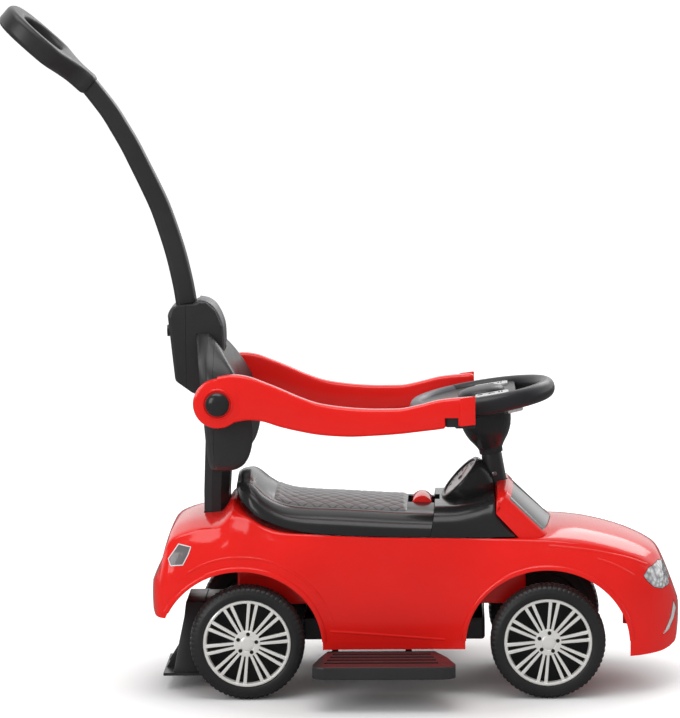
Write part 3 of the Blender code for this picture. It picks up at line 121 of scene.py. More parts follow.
class Nodes:                 # a node tree, of a material or of the world, and its one way of adding nodes
    def __init__(self, tree):
        self.tree = tree

    def give(self, node, sockets):
        for name, given in sockets.items():
            plug(self.tree, node.inputs[name], given)

    def node(self, kind, settings, sockets, out=0):
        made = self.tree.nodes.new("ShaderNode" + kind)
        for name, given in settings.items():
            setattr(made, name, given)
        self.give(made, sockets)
        return Value(self.tree, made.outputs[out])

    def place(self, kind="Object"):
        return self.node("TexCoord", {}, {}, kind)

    def ray(self, kind):
        return self.node("LightPath", {}, {}, kind)

    def step(self, given, low, high):
        return self.node("MapRange", {"clamp": True}, {"Value": given, "From Min": low, "From Max": high})

    def noise(self, scale, detail=2.0, rough=0.5):
        return self.node("TexNoise", {}, {"Vector": self.place(), "Scale": scale, "Detail": detail,
                                          "Roughness": rough}, "Fac")

    def vector(self, operation, first, second, out=0):
        return self.node("VectorMath", {"operation": operation}, {0: first, 1: second}, out)

    def mixed(self, mask, first, second):
        # 0 is the factor, 6 and 7 the two colours and output 2 the colour
        return self.node("Mix", {"data_type": "RGBA"}, {0: mask, 6: first, 7: second}, 2)

    def relief(self, height, strength, distance):
        return self.node("Bump", {}, {"Height": height, "Strength": strength, "Distance": distance})


class Paint(Nodes):          # one material with its main shader
    def __init__(self, name, colour, roughness, metallic=0.0, coat=0.0):
        self.material = bpy.data.materials.new(name)
        self.material.use_nodes = True
        super().__init__(self.material.node_tree)
        self.shader = self.tree.nodes["Principled BSDF"]
        self.surface = Value(self.tree, self.shader.outputs[0])
        self.give(self.shader, {"Base Color": (*colour, 1), "Roughness": roughness, "Metallic": metallic,
                                "Coat Weight": coat})


# What all moulded plastic shares: the flow marks in the colour and the marks of hands in the gloss
moulding = dict(flowScale=9.0, flowDetail=3.0, flowSpread=(0.3, 0.7), flowLift=0.01,
                handScale=60.0, handDetail=4.0, handRough=0.65, handSpread=(0.35, 0.75),
                grainDetail=2.0, grainRough=0.6)


def plastic(name, look):
    paint = Paint(name, look["colour"], look["roughness"], look.get("metallic", 0.0), look.get("coat", 0.0))
    flow = paint.step(paint.noise(moulding["flowScale"], moulding["flowDetail"]), *moulding["flowSpread"])
    deep = tuple(c * (1 - look["flow"]) for c in look["colour"])
    pale = tuple(min(c * (1 + look["flow"]) + look["flow"] * moulding["flowLift"], 1) for c in look["colour"])
    handled = paint.step(paint.noise(moulding["handScale"], moulding["handDetail"], moulding["handRough"]),
                         *moulding["handSpread"])
    grain = paint.noise(look["grainScale"], moulding["grainDetail"], moulding["grainRough"])
    paint.give(paint.shader, {
        "Base Color": paint.mixed(flow, (*deep, 1), (*pale, 1)),
        "Roughness": handled * look["wear"] + look["roughness"] - look["wear"] / 2,
        "Normal": paint.relief(grain, look["grain"], look["grainDepth"]),
    })
    return paint.material


finishes = {
    "redGloss": dict(colour=(0.84, 0.0140, 0.0100), roughness=0.15, coat=0.15, flow=0.035, wear=0.07,
                     grainScale=55.0, grain=0.10, grainDepth=0.0008),
    "blackSatin": dict(colour=(0.0270, 0.0270, 0.0285), roughness=0.36, flow=0.12, wear=0.10,
                       grainScale=900.0, grain=0.25, grainDepth=0.00025),
    "blackGloss": dict(colour=(0.0200, 0.0200, 0.0212), roughness=0.22, coat=0.1, flow=0.10, wear=0.08,
                       grainScale=60.0, grain=0.06, grainDepth=0.0006),
    "tyreBlack": dict(colour=(0.0190, 0.0190, 0.0195), roughness=0.42, flow=0.20, wear=0.16,
                      grainScale=700.0, grain=0.35, grainDepth=0.0003),
    "wheelGrey": dict(colour=(0.022, 0.022, 0.025), roughness=0.34, flow=0.08, wear=0.10,
                      grainScale=1100.0, grain=0.3, grainDepth=0.0002),
    "segmentGrey": dict(colour=(0.115, 0.115, 0.125), roughness=0.38, flow=0.06, wear=0.08,
                        grainScale=1100.0, grain=0.3, grainDepth=0.0002),
    "silverPlastic": dict(colour=(0.70, 0.70, 0.71), roughness=0.30, metallic=0.3, flow=0.05, wear=0.10,
                          grainScale=900.0, grain=0.15, grainDepth=0.0002),
    "brightTrim": dict(colour=(0.93, 0.92, 0.89), roughness=0.16, metallic=0.35, flow=0.03, wear=0.08,
                       grainScale=70.0, grain=0.05, grainDepth=0.0005),
    "axleSteel": dict(colour=(0.50, 0.50, 0.51), roughness=0.32, metallic=1.0, flow=0.10, wear=0.16,
                      grainScale=500.0, grain=0.2, grainDepth=0.0002),
    "paneTint": dict(colour=(0.022, 0.023, 0.026), roughness=0.12, coat=0.3, flow=0.05, wear=0.05,
                     grainScale=50.0, grain=0.04, grainDepth=0.0005),
    "markBlack": dict(colour=(0.012, 0.012, 0.012), roughness=0.5, flow=0.05, wear=0.1,
                      grainScale=600.0, grain=0.1, grainDepth=0.0002),
    "dialSilver": dict(colour=(0.72, 0.72, 0.72), roughness=0.40, flow=0.05, wear=0.10,
                       grainScale=700.0, grain=0.1, grainDepth=0.0002),
    "markWhite": dict(colour=(0.72, 0.72, 0.72), roughness=0.5, flow=0.03, wear=0.1,
                      grainScale=600.0, grain=0.1, grainDepth=0.0002),
    "needleRed": dict(colour=(0.60, 0.02, 0.02), roughness=0.4, flow=0.03, wear=0.1,
                      grainScale=600.0, grain=0.1, grainDepth=0.0002),
    "lampSmoke": dict(colour=(0.16, 0.145, 0.15), roughness=0.14, coat=0.5, flow=0.2, wear=0.06,
                      grainScale=240.0, grain=0.5, grainDepth=0.0008),
}
paints = {name: plastic(name, look) for name, look in finishes.items()}

# A clear lens over a facetted reflector, told by its cells, which carry a painted reflection: bright and dark cells
# in the base colour
lampLook = dict(colour=(0.8, 0.8, 0.8), dark=(0.30, 0.30, 0.31, 1), bright=(0.86, 0.87, 0.88, 1),
                roughness=0.09, metallic=0.35, coat=0.6, cellScale=150.0, cellSpread=(0.15, 0.75),
                relief=0.5, reliefDepth=0.0012)


def lampPaint():
    paint = Paint("lampClear", *(lampLook[k] for k in ("colour", "roughness", "metallic", "coat")))
    cells = paint.node("TexVoronoi", {"feature": "F1"}, {"Vector": paint.place(), "Scale": lampLook["cellScale"]},
                       "Distance")
    mask = paint.step(cells, *lampLook["cellSpread"])
    # The bright and dark cells in the base colour are a painted reflection of the facets
    paint.give(paint.shader, {
        "Base Color": paint.mixed(mask, lampLook["bright"], lampLook["dark"]),
        "Normal": paint.relief(cells, lampLook["relief"], lampLook["reliefDepth"]),
    })
    return paint.material


paints["lampClear"] = lampPaint()

# Diamond cells lightened by a painted sheen, with painted shade in the dark lines between them
quiltLook = dict(colour=(0.06, 0.06, 0.06), cellWithSheen=(0.150, 0.150, 0.153, 1), line=(0.008, 0.008, 0.008, 1),
                 start=axleShift, pitch=0.0098, grooveShadeSpread=(0.03, 0.16), roughness=0.34, metallic=0.0, coat=0.1,
                 wearScale=60.0, wearDetail=3.0, wear=0.12, wearFrom=0.28,
                 grainScale=800.0, grainDetail=2.0, grainRough=0.6, grain=0.2, grainDepth=0.0002)


def quiltPaint():
    look = quiltLook
    paint = Paint("quiltBlack", *(look[k] for k in ("colour", "roughness", "metallic", "coat")))
    place = paint.place()
    along = paint.node("SeparateXYZ", {}, {"Vector": place}, "X") - look["start"]
    athwart = paint.node("SeparateXYZ", {}, {"Vector": place}, "Y")
    # one and two mark the grooves: the dark line colour there is painted shade, and the lighter cell colour is a
    # painted sheen
    one, two = (paint.step((slant / look["pitch"]).work("PINGPONG", 1.0), *look["grooveShadeSpread"])
                for slant in (along + athwart, along - athwart))
    grain = paint.noise(look["grainScale"], look["grainDetail"], look["grainRough"])
    paint.give(paint.shader, {
        "Base Color": paint.mixed(one * two, look["line"], look["cellWithSheen"]),
        "Roughness": paint.noise(look["wearScale"], look["wearDetail"]) * look["wear"] + look["wearFrom"],
        "Normal": paint.relief(grain, look["grain"], look["grainDepth"]),
    })
    return paint.material


paints["quiltBlack"] = quiltPaint()
print("materials made")

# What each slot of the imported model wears, until a piece below takes a node's place
slotPaint = {
    "red_plastic": "redGloss", "black_plastic": "blackSatin", "tyre_plastic": "tyreBlack",
    "grey_plastic": "wheelGrey", "bright_trim": "brightTrim", "steel": "axleSteel",
    "tinted_plastic": "paneTint", "silver_plastic": "silverPlastic", "clear_plastic": "lampClear",
}
slotOf = {part["node"]: part["material_slot"] for part in frame["record"]["subparts"]}
for name, slot in slotOf.items():
    materials = nodes[name].data.materials
    materials.clear()
    materials.append(paints[slotPaint[slot]])
print("packed nodes painted")


def at(x, y, z):
    return Vector((x + axleShift, y, z))


def dress(obj, body, paint, sharp=35, hides=()):
    obj.data.materials.clear()
    obj.data.materials.append(paints[paint])
    obj.data.shade_smooth()
    obj.data.set_sharp_from_angle(angle=radians(sharp))
    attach(obj, body)
    if hides:
        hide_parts(*hides)
    return obj


def fromMesh(name, bm):
    bmesh.ops.recalc_face_normals(bm, faces=bm.faces)
    mesh = bpy.data.meshes.new(name)
    bm.to_mesh(mesh)
    bm.free()
    obj = bpy.data.objects.new(name, mesh)
    scene.collection.objects.link(obj)
    return obj


def skinOf(name, rings, caps=True):
    # A skin through closed rings of points
    bm = bmesh.new()
    rows = [[bm.verts.new(p) for p in ring] for ring in rings]
    count = len(rows[0])
    for near, far in zip(rows, rows[1:]):
        for i in range(count):
            j = (i + 1) % count
            bm.faces.new((near[i], near[j], far[j], far[i]))
    if caps:
        bm.faces.new(rows[0][::-1])
        bm.faces.new(rows[-1])
    return fromMesh(name, bm)


def circle(radius, steps):
    return [(radius * cos(2 * pi * n / steps), radius * sin(2 * pi * n / steps)) for n in range(steps)]


def lathe(name, profile, centre, axis, steps=64):
    # profile is (radius, height); a radius of 0 closes the end, and a profile without one closes on itself
    turn = Vector((0, 0, 1)).rotation_difference(Vector(axis)).to_matrix()
    bm = bmesh.new()
    rows = []
    for radius, height in profile:
        if radius == 0:
            rows.append([bm.verts.new(centre + turn @ Vector((0, 0, height)))] * steps)
        else:
            rows.append([bm.verts.new(centre + turn @ Vector((u, v, height))) for u, v in circle(radius, steps)])
    pairs = list(zip(rows, rows[1:]))
    if profile[0][0] > 0 and profile[-1][0] > 0:
        pairs.append((rows[-1], rows[0]))
    for near, far in pairs:
        for i in range(steps):
            j = (i + 1) % steps
            corners = list(dict.fromkeys((near[i], near[j], far[j], far[i])))
            if len(corners) > 2:
                bm.faces.new(corners)
    return fromMesh(name, bm)


def applied(obj):
    # The object's own mesh after its modifiers
    bpy.context.view_layer.update()
    graph = bpy.context.evaluated_depsgraph_get()
    mesh = bpy.data.meshes.new_from_object(obj.evaluated_get(graph), depsgraph=graph)
    obj.modifiers.clear()
    old = obj.data
    obj.data = mesh
    bpy.data.meshes.remove(old)
    return obj


def bevelled(obj, width, segments=3, angle=35):
    bevel = obj.modifiers.new("Bevel", "BEVEL")
    bevel.width = width
    bevel.segments = segments
    bevel.limit_method = "ANGLE"
    bevel.angle_limit = radians(angle)
    return applied(obj)


def carved(obj, tool, operation="DIFFERENCE", solver="EXACT"):
    boolean = obj.modifiers.new("Boolean", "BOOLEAN")
    boolean.operation = operation
    boolean.object = tool
    boolean.solver = solver
    applied(obj)
    bpy.data.objects.remove(tool, do_unlink=True)
    return obj


def plate(name, outline, low, high, frameOf):
    # An outline with thickness; frameOf turns (u, v, w) into a place
    rings = [[frameOf(u, v, w) for u, v in outline] for w in (low, high)]
    return skinOf(name, rings)


def curved(points, parts):
    # Catmull-Rom points from the second of a list up to the last but one
    out = []
    for a, b, c, d in zip(points, points[1:], points[2:], points[3:]):
        for n in range(parts):
            t = n / parts
            out.append(tuple(0.5 * (2 * q + (r - p) * t + (2 * p - 5 * q + 4 * r - s) * t * t
                                    + (3 * q - p - 3 * r + s) * t ** 3)
                             for p, q, r, s in zip(a, b, c, d)))
    return out


def smoothPath(points, parts):
    return curved([points[0], *points, points[-1]], parts) + [tuple(points[-1])]


def smoothLoop(points, parts):
    return curved([points[-1], *points, points[0], points[1]], parts)


def headings(points):
    # The way along a line at each of its points
    ends = [points[0], *points, points[-1]]
    return [Vector([b - a for a, b in zip(before, after)]).normalized() for before, after in zip(ends, ends[2:])]


# Camera, where the photograph was taken from
camera = dict(place=(0.1421, -4.7, 1.0006), yaw=1.76, pitch=7.069, roll=-0.6, lens=185.56, sensor=36, reach=500)


def makeCamera():
    yaw, pitch, roll = (radians(camera[k]) for k in ("yaw", "pitch", "roll"))
    ahead = Vector((-sin(yaw) * cos(pitch), cos(yaw) * cos(pitch), -sin(pitch)))
    level = Vector((cos(yaw), sin(yaw), 0))
    high = level.cross(ahead)
    right = level * cos(roll) + high * sin(roll)
    up = high * cos(roll) - level * sin(roll)
    data = bpy.data.cameras.new("camera")
    data.sensor_fit = "VERTICAL"
    data.sensor_height = camera["sensor"]
    data.lens = camera["lens"]
    data.clip_end = camera["reach"]
    made = bpy.data.objects.new("camera", data)
    turned = Matrix((right, up, -ahead)).transposed().to_4x4()
    made.matrix_world = Matrix.Translation(camera["place"]) @ turned
    scene.collection.objects.link(made)
    scene.camera = made


makeCamera()

# Floor and light: a white studio sweep, soft light from above and the left. The floor glows to the camera
# alone, less under the car as a painted shadow, and looks dull in the gloss; the world is brighter in the gloss
# towards the back
studio = dict(floorSize=160.0, floorColour=(0.88, 0.88, 0.88, 1), farColour=(0.99, 0.99, 0.99, 1),
              farSpread=(1.4, 5.0), floorRoughness=0.9, floorGlow=0.42, paintedShadowGlow=(0.03, 0.03, 0.03, 1),
              paintedShadowCentre=(0.05, 0.0, 0.0), paintedShadowShape=(1.0, 1.2, 1.0), paintedShadowSpread=(0.27, 0.44),
              glossFloor=(0.16, 0.16, 0.16, 1),
              worldLight=0.66, seenLight=1.12, glossLight=0.14, glossBehind=1.0, behindRise=2.5,
              lamps=[dict(name="topLamp", place=(-0.3, -0.5, 2.6), size=(2.2, 1.6), watts=26),
                     dict(name="sideLamp", place=(-2.2, -2.4, 1.5), size=(1.4, 1.8), watts=22),
                     dict(name="backLamp", place=(1.2, 2.4, 1.9), size=(1.6, 1.2), watts=16)], aim=(0, 0, 0.2))
white = (1, 1, 1, 1)


def makeFloor():
    paint = Paint("floorWhite", studio["floorColour"][:3], studio["floorRoughness"])
    away = paint.vector("LENGTH", paint.place(), (0, 0, 0), "Value")
    paint.give(paint.shader, {"Base Color": paint.mixed(paint.step(away, *studio["farSpread"]),
                                                        studio["floorColour"], studio["farColour"])})
    # The glow fades to a dark grey in a patch around the car: a painted shadow under it
    fromCar = paint.vector("SUBTRACT", paint.place(), studio["paintedShadowCentre"])
    fromCar = paint.vector("LENGTH", paint.vector("MULTIPLY", fromCar, studio["paintedShadowShape"]), (0, 0, 0), "Value")
    clear = paint.step(fromCar, *studio["paintedShadowSpread"])
    glow = paint.node("Emission", {}, {"Color": paint.mixed(clear, studio["paintedShadowGlow"], white),
                                       "Strength": studio["floorGlow"]})
    lit = paint.node("AddShader", {}, {0: paint.surface, 1: glow})
    dull = paint.node("BsdfDiffuse", {}, {"Color": studio["glossFloor"]})
    unseen = paint.node("MixShader", {}, {0: paint.ray("Is Glossy Ray"), 1: paint.surface, 2: dull})
    seen = paint.node("MixShader", {}, {0: paint.ray("Is Camera Ray"), 1: unseen, 2: lit})
    paint.give(paint.tree.nodes["Material Output"], {"Surface": seen})
    half = studio["floorSize"] / 2
    bm = bmesh.new()
    bm.faces.new([bm.verts.new((x * half, y * half, 0)) for x, y in ((-1, -1), (1, -1), (1, 1), (-1, 1))])
    floor = fromMesh("floor", bm)
    floor.data.materials.append(paint.material)


def makeLight():
    world = bpy.data.worlds.new("studio")
    world.use_nodes = True
    scene.world = world
    sky = Nodes(world.node_tree)
    towards = sky.node("SeparateXYZ", {}, {"Vector": sky.place("Generated")}, "Y")
    behind = (towards * studio["behindRise"]).work("MAXIMUM", 0.0).work("MINIMUM", 1.0)
    glossy = behind * (studio["glossBehind"] - studio["glossLight"]) + studio["glossLight"]
    strength = (sky.ray("Is Camera Ray") * (studio["seenLight"] - studio["worldLight"]) + studio["worldLight"]
                + sky.ray("Is Glossy Ray") * (glossy - studio["worldLight"]))
    sky.give(sky.tree.nodes["Background"], {"Color": white, "Strength": strength})
    for lamp in studio["lamps"]:
        light = bpy.data.lights.new(lamp["name"], "AREA")
        light.shape = "RECTANGLE"
        light.size, light.size_y = lamp["size"]
        light.energy = lamp["watts"]
        made = bpy.data.objects.new(lamp["name"], light)
        made.location = lamp["place"]
        aim = Vector(studio["aim"]) - Vector(lamp["place"])
        made.rotation_euler = aim.to_track_quat("-Z", "Y").to_euler()
        scene.collection.objects.link(made)


makeFloor()
makeLight()
print("camera, floor and lights made")


def gathered(name, *parts):
    # Several closed solids kept in one mesh
    bm = bmesh.new()
    for part in parts:
        bm.from_mesh(part.data)
        bpy.data.objects.remove(part, do_unlink=True)
    return fromMesh(name, bm)


def twin(obj, name):
    made = bpy.data.objects.new(name, obj.data.copy())
    made.matrix_world = obj.matrix_world.copy()
    scene.collection.objects.link(made)
    return made


# Tyres: black moulded plastic with a block tread that runs over the shoulder
tyre = dict(middle=0.110, core=0.060, blocks=66, stepsPerBlock=5, groove=0.0009, shoulderGroove=0.0006,
            treadFrom=0.0655, fade=0.003, ribHalf=0.0015, ringHalf=0.0048, nickFrom=0.003, nickAt=0.75,
            grooveShare=0.3, shoulderAt=0.011,
            outerWall=[(0.0555, 0.0145), (0.0557, 0.0156), (0.0563, 0.0167), (0.0575, 0.0174), (0.0592, 0.0176),
                       (0.0612, 0.0179), (0.0630, 0.0175), (0.0645, 0.0171), (0.0652, 0.0166), (0.0668, 0.0163),
                       (0.0684, 0.0155), (0.0698, 0.0143), (0.0710, 0.0127), (0.0719, 0.0106), (0.0725, 0.0082)],
            crown=[0.0060, 0.0054, 0.0042, 0.0020, 0.0009, 0.0],
            hub=[(0.0500, -0.0180), (0.0470, -0.0145), (0.0150, -0.0145), (0.0150, -0.0215), (0.0045, -0.0215),
                 (0.0045, 0.0075), (0.0150, 0.0075), (0.0150, -0.0115), (0.0500, -0.0115), (0.0555, -0.0095)])


def tyreProfile():
    # The inner wall is the outer one turned over, without the three points next to the rim
    outside = tyre["outerWall"] + [(axleHeight, y) for y in tyre["crown"]]
    return outside + [(r, -y) for r, y in outside[-2:2:-1]]


def treadDepth(radius, y, turn):
    # Blocks in two staggered rows with a rib between them; turn counts in blocks
    half = abs(y)
    if radius < tyre["treadFrom"] or half <= tyre["ribHalf"]:
        return 0.0
    if half < tyre["ringHalf"]:
        nicked = (turn * 2) % 1 > tyre["nickAt"] and half > tyre["nickFrom"]
        return 0.0 if nicked else tyre["groove"]
    stagger = 0.5 if y > 0 else 0.0
    if (turn + stagger) % 1 >= tyre["grooveShare"]:
        return 0.0
    depth = tyre["groove"] if half < tyre["shoulderAt"] else tyre["shoulderGroove"]
    return depth * min((radius - tyre["treadFrom"]) / tyre["fade"], 1.0)


def makeTyre(word, x, side):
    profile = tyreProfile()
    steps = tyre["blocks"] * tyre["stepsPerBlock"]
    centre = at(x, side * tyre["middle"], axleHeight)
    rings = []
    for (radius, y), along in zip(profile, headings(profile)):
        normal = Vector((-along.y, along.x))
        if normal.dot(Vector((radius - tyre["core"], y))) < 0:
            normal = -normal
        ring = []
        for n in range(steps):
            sunk = Vector((radius, y)) - normal * treadDepth(radius, y, n / tyre["stepsPerBlock"])
            angle = 2 * pi * n / steps
            ring.append(centre + Vector((sunk.x * cos(angle), side * sunk.y, sunk.x * sin(angle))))
        rings.append(ring)
    for radius, y in tyre["hub"]:
        rings.append([centre + Vector((u, side * y, v)) for u, v in circle(radius, steps)])
    made = skinOf("tyre_shown_" + word, rings + [rings[0]], caps=False)
    bm = bmesh.new()
    bm.from_mesh(made.data)
    bmesh.ops.remove_doubles(bm, verts=bm.verts, dist=0.000001)
    bmesh.ops.recalc_face_normals(bm, faces=bm.faces)
    bm.to_mesh(made.data)
    bm.free()
    return dress(made, "wheel_" + word, "tyreBlack", 30, ["tyre_" + word])


# Rim covers: bright, with twin spokes, a hub with black discs as painted shade where its bolt holes are, and a
# plain cap
rim = dict(pairs=10, pairTurn=0.25, barFrom=0.0135, barTo=0.0523, barWide=0.0038, barDeep=0.0050, barFlat=0.72,
           barEdge=0.0007, barEndSunk=0.0006, spreadHub=0.0024, spreadRim=0.0050, faceHeight=0.0168, dish=0.0015,
           bolts=5, boltTurn=0.15, boltCircle=0.0122,
           lip=[(0.0553, 0.0100), (0.0553, 0.0158), (0.0546, 0.0167), (0.0534, 0.0171), (0.0522, 0.0167),
                (0.0514, 0.0156), (0.0511, 0.0120), (0.0506, 0.0100)],
           hub=[(0.0, 0.0112), (0.0155, 0.0112), (0.0168, 0.0125), (0.0168, 0.0148), (0.0160, 0.0158),
                (0.0140, 0.0162), (0.0108, 0.0160), (0.0098, 0.0152), (0.0092, 0.0152), (0.0086, 0.0162),
                (0.0070, 0.0171), (0.0040, 0.0175), (0.0, 0.0176)],
           shadeDisc=[(0.0, 0.0150), (0.0025, 0.0150), (0.0025, 0.0162), (0.0019, 0.0164), (0.0, 0.0163)])


def spokeBar(angle, hand, centre, out):
    # One bar of a pair: a long prism with its face's edges taken off
    along = Vector((cos(angle), 0, sin(angle)))
    athwart = Vector((-sin(angle), 0, cos(angle)))
    rings = []
    for t in (0.0, 0.12, 0.5, 0.88, 1.0):
        radius = rim["barFrom"] + (rim["barTo"] - rim["barFrom"]) * t
        offset = hand * (rim["spreadHub"] + (rim["spreadRim"] - rim["spreadHub"]) * t)
        wide = rim["barWide"] * (0.86 + 0.28 * t) / 2
        face = rim["faceHeight"] - rim["dish"] * (1 - t) ** 2 - (rim["barEndSunk"] if t in (0.0, 1.0) else 0)
        middle = centre + along * radius + athwart * offset
        low, edge, flat = face - rim["barDeep"], face - rim["barEdge"], wide * rim["barFlat"]
        section = [(-wide, low), (-wide, edge), (-flat, face), (flat, face), (wide, edge), (wide, low)]
        rings.append([middle + athwart * a + out * b for a, b in section])
    return skinOf("bar", rings)


def makeRim(word, x, side):
    centre = at(x, side * tyre["middle"], axleHeight)
    out = Vector((0, side, 0))
    bars = [spokeBar(2 * pi * (n + rim["pairTurn"]) / rim["pairs"], hand, centre, out)
            for n in range(rim["pairs"]) for hand in (-1, 1)]
    made = gathered("rim_shown_" + word, lathe("lip", rim["lip"], centre, out, 120), *bars,
                    lathe("hub", rim["hub"], centre, out, 60))
    dress(made, "wheel_" + word, "brightTrim", 28, ["rim_" + word])
    # Black discs on the hub, no holes cut: painted shade for the bolt recesses
    for n in range(rim["bolts"]):
        angle = 2 * pi * (n + rim["boltTurn"]) / rim["bolts"]
        spot = centre + Vector((cos(angle), 0, sin(angle))) * rim["boltCircle"]
        shadeDisc = lathe("bolt_painted_shade_%s_%d" % (word, n), rim["shadeDisc"], spot, out, 16)
        dress(shadeDisc, "wheel_" + word, "markBlack")


for end, x in (("rear", 0.0), ("front", wheelbase)):
    for word, side in sides:
        makeTyre(end + "_" + word, x, side)
        makeRim(end + "_" + word, x, side)
print("wheels made")

def bodyOf(name):
    found = body_of(nodes[name])
    return found if isinstance(found, str) else found[0]


def inPlaceOf(obj, name, paint, sharp=40):
    # A finer piece that takes a node's place and moves with it
    return dress(obj, bodyOf(name), paint, sharp, [name])


def rowAt(rows, place):
    # Smooth interpolation of a table whose first column is the station
    place = min(max(place, rows[0][0]), rows[-1][0])
    i = max(k for k in range(len(rows) - 1) if rows[k][0] <= place)
    first, second = rows[i], rows[i + 1]
    span = second[0] - first[0]
    t = (place - first[0]) / span
    before = rows[i - 1] if i else first
    after = rows[i + 2] if i + 2 < len(rows) else second
    out = [place]
    for k in range(1, len(first)):
        rise = second[k] - first[k]
        slopes = []
        for a, b in ((before, second), (first, after)):
            slope = (b[k] - a[k]) / max(b[0] - a[0], 1e-9) * span
            slopes.append(0 if rise * slope <= 0 else max(-3 * abs(rise), min(3 * abs(rise), slope)))
        out.append((2 * t ** 3 - 3 * t ** 2 + 1) * first[k] + (t ** 3 - 2 * t ** 2 + t) * slopes[0]
                   + (3 * t ** 2 - 2 * t ** 3) * second[k] + (t ** 3 - t ** 2) * slopes[1])
    return out


def between(marks, parts):
    # The marks, numbers or vectors, with each interval split evenly
    out = []
    for a, b in zip(marks, marks[1:]):
        out += [a + (b - a) * n / parts for n in range(parts)]
    return out + [marks[-1]]


def mirrored(half):
    # The right half of a section, from its foot to the middle, made whole
    return [(-y, z) for y, z in half] + list(half[-2::-1])


def prism(name, outline, low, high, axis="Y"):
    # axis Y: the outline is (x, z); axis X: (y, z)
    def place(u, v, w):
        return at(u, w, v) if axis == "Y" else at(w, u, v)

    return plate(name, outline, low, high, place)


def box(name, x, y, z):
    return prism(name, [(x[0], z[0]), (x[1], z[0]), (x[1], z[1]), (x[0], z[1])], y[0], y[1])


def rounds(name, start, end, radius, steps=32):
    start, end = Vector(start), Vector(end)
    length = (end - start).length
    return lathe(name, [(0.0, 0.0), (radius, 0.0), (radius, length), (0.0, length)], at(*start), end - start, steps)


def grown(outline, by):
    # The outline moved outwards, corner by corner
    out = []
    count = len(outline)
    area = sum(outline[i][0] * outline[(i + 1) % count][1] - outline[(i + 1) % count][0] * outline[i][1]
               for i in range(count))
    hand = 1 if area > 0 else -1
    for i in range(count):
        before, here, after = (Vector(outline[k % count]) for k in (i - 1, i, i + 1))
        one, two = (here - before).normalized(), (after - here).normalized()
        normals = [Vector((edge.y, -edge.x)) * hand for edge in (one, two)]
        mitre = (normals[0] + normals[1]).normalized()
        out.append(tuple(here + mitre * by / max(mitre.dot(normals[0]), 0.3)))
    return out


def shoulderArc(flat, half, low, top):
    # A quarter of an ellipse from the foot of a side up to the edge of a flat middle
    return [(flat + (half - flat) * cos(radians(a)), low + (top - low) * sin(radians(a))) for a in range(0, 91, 6)]


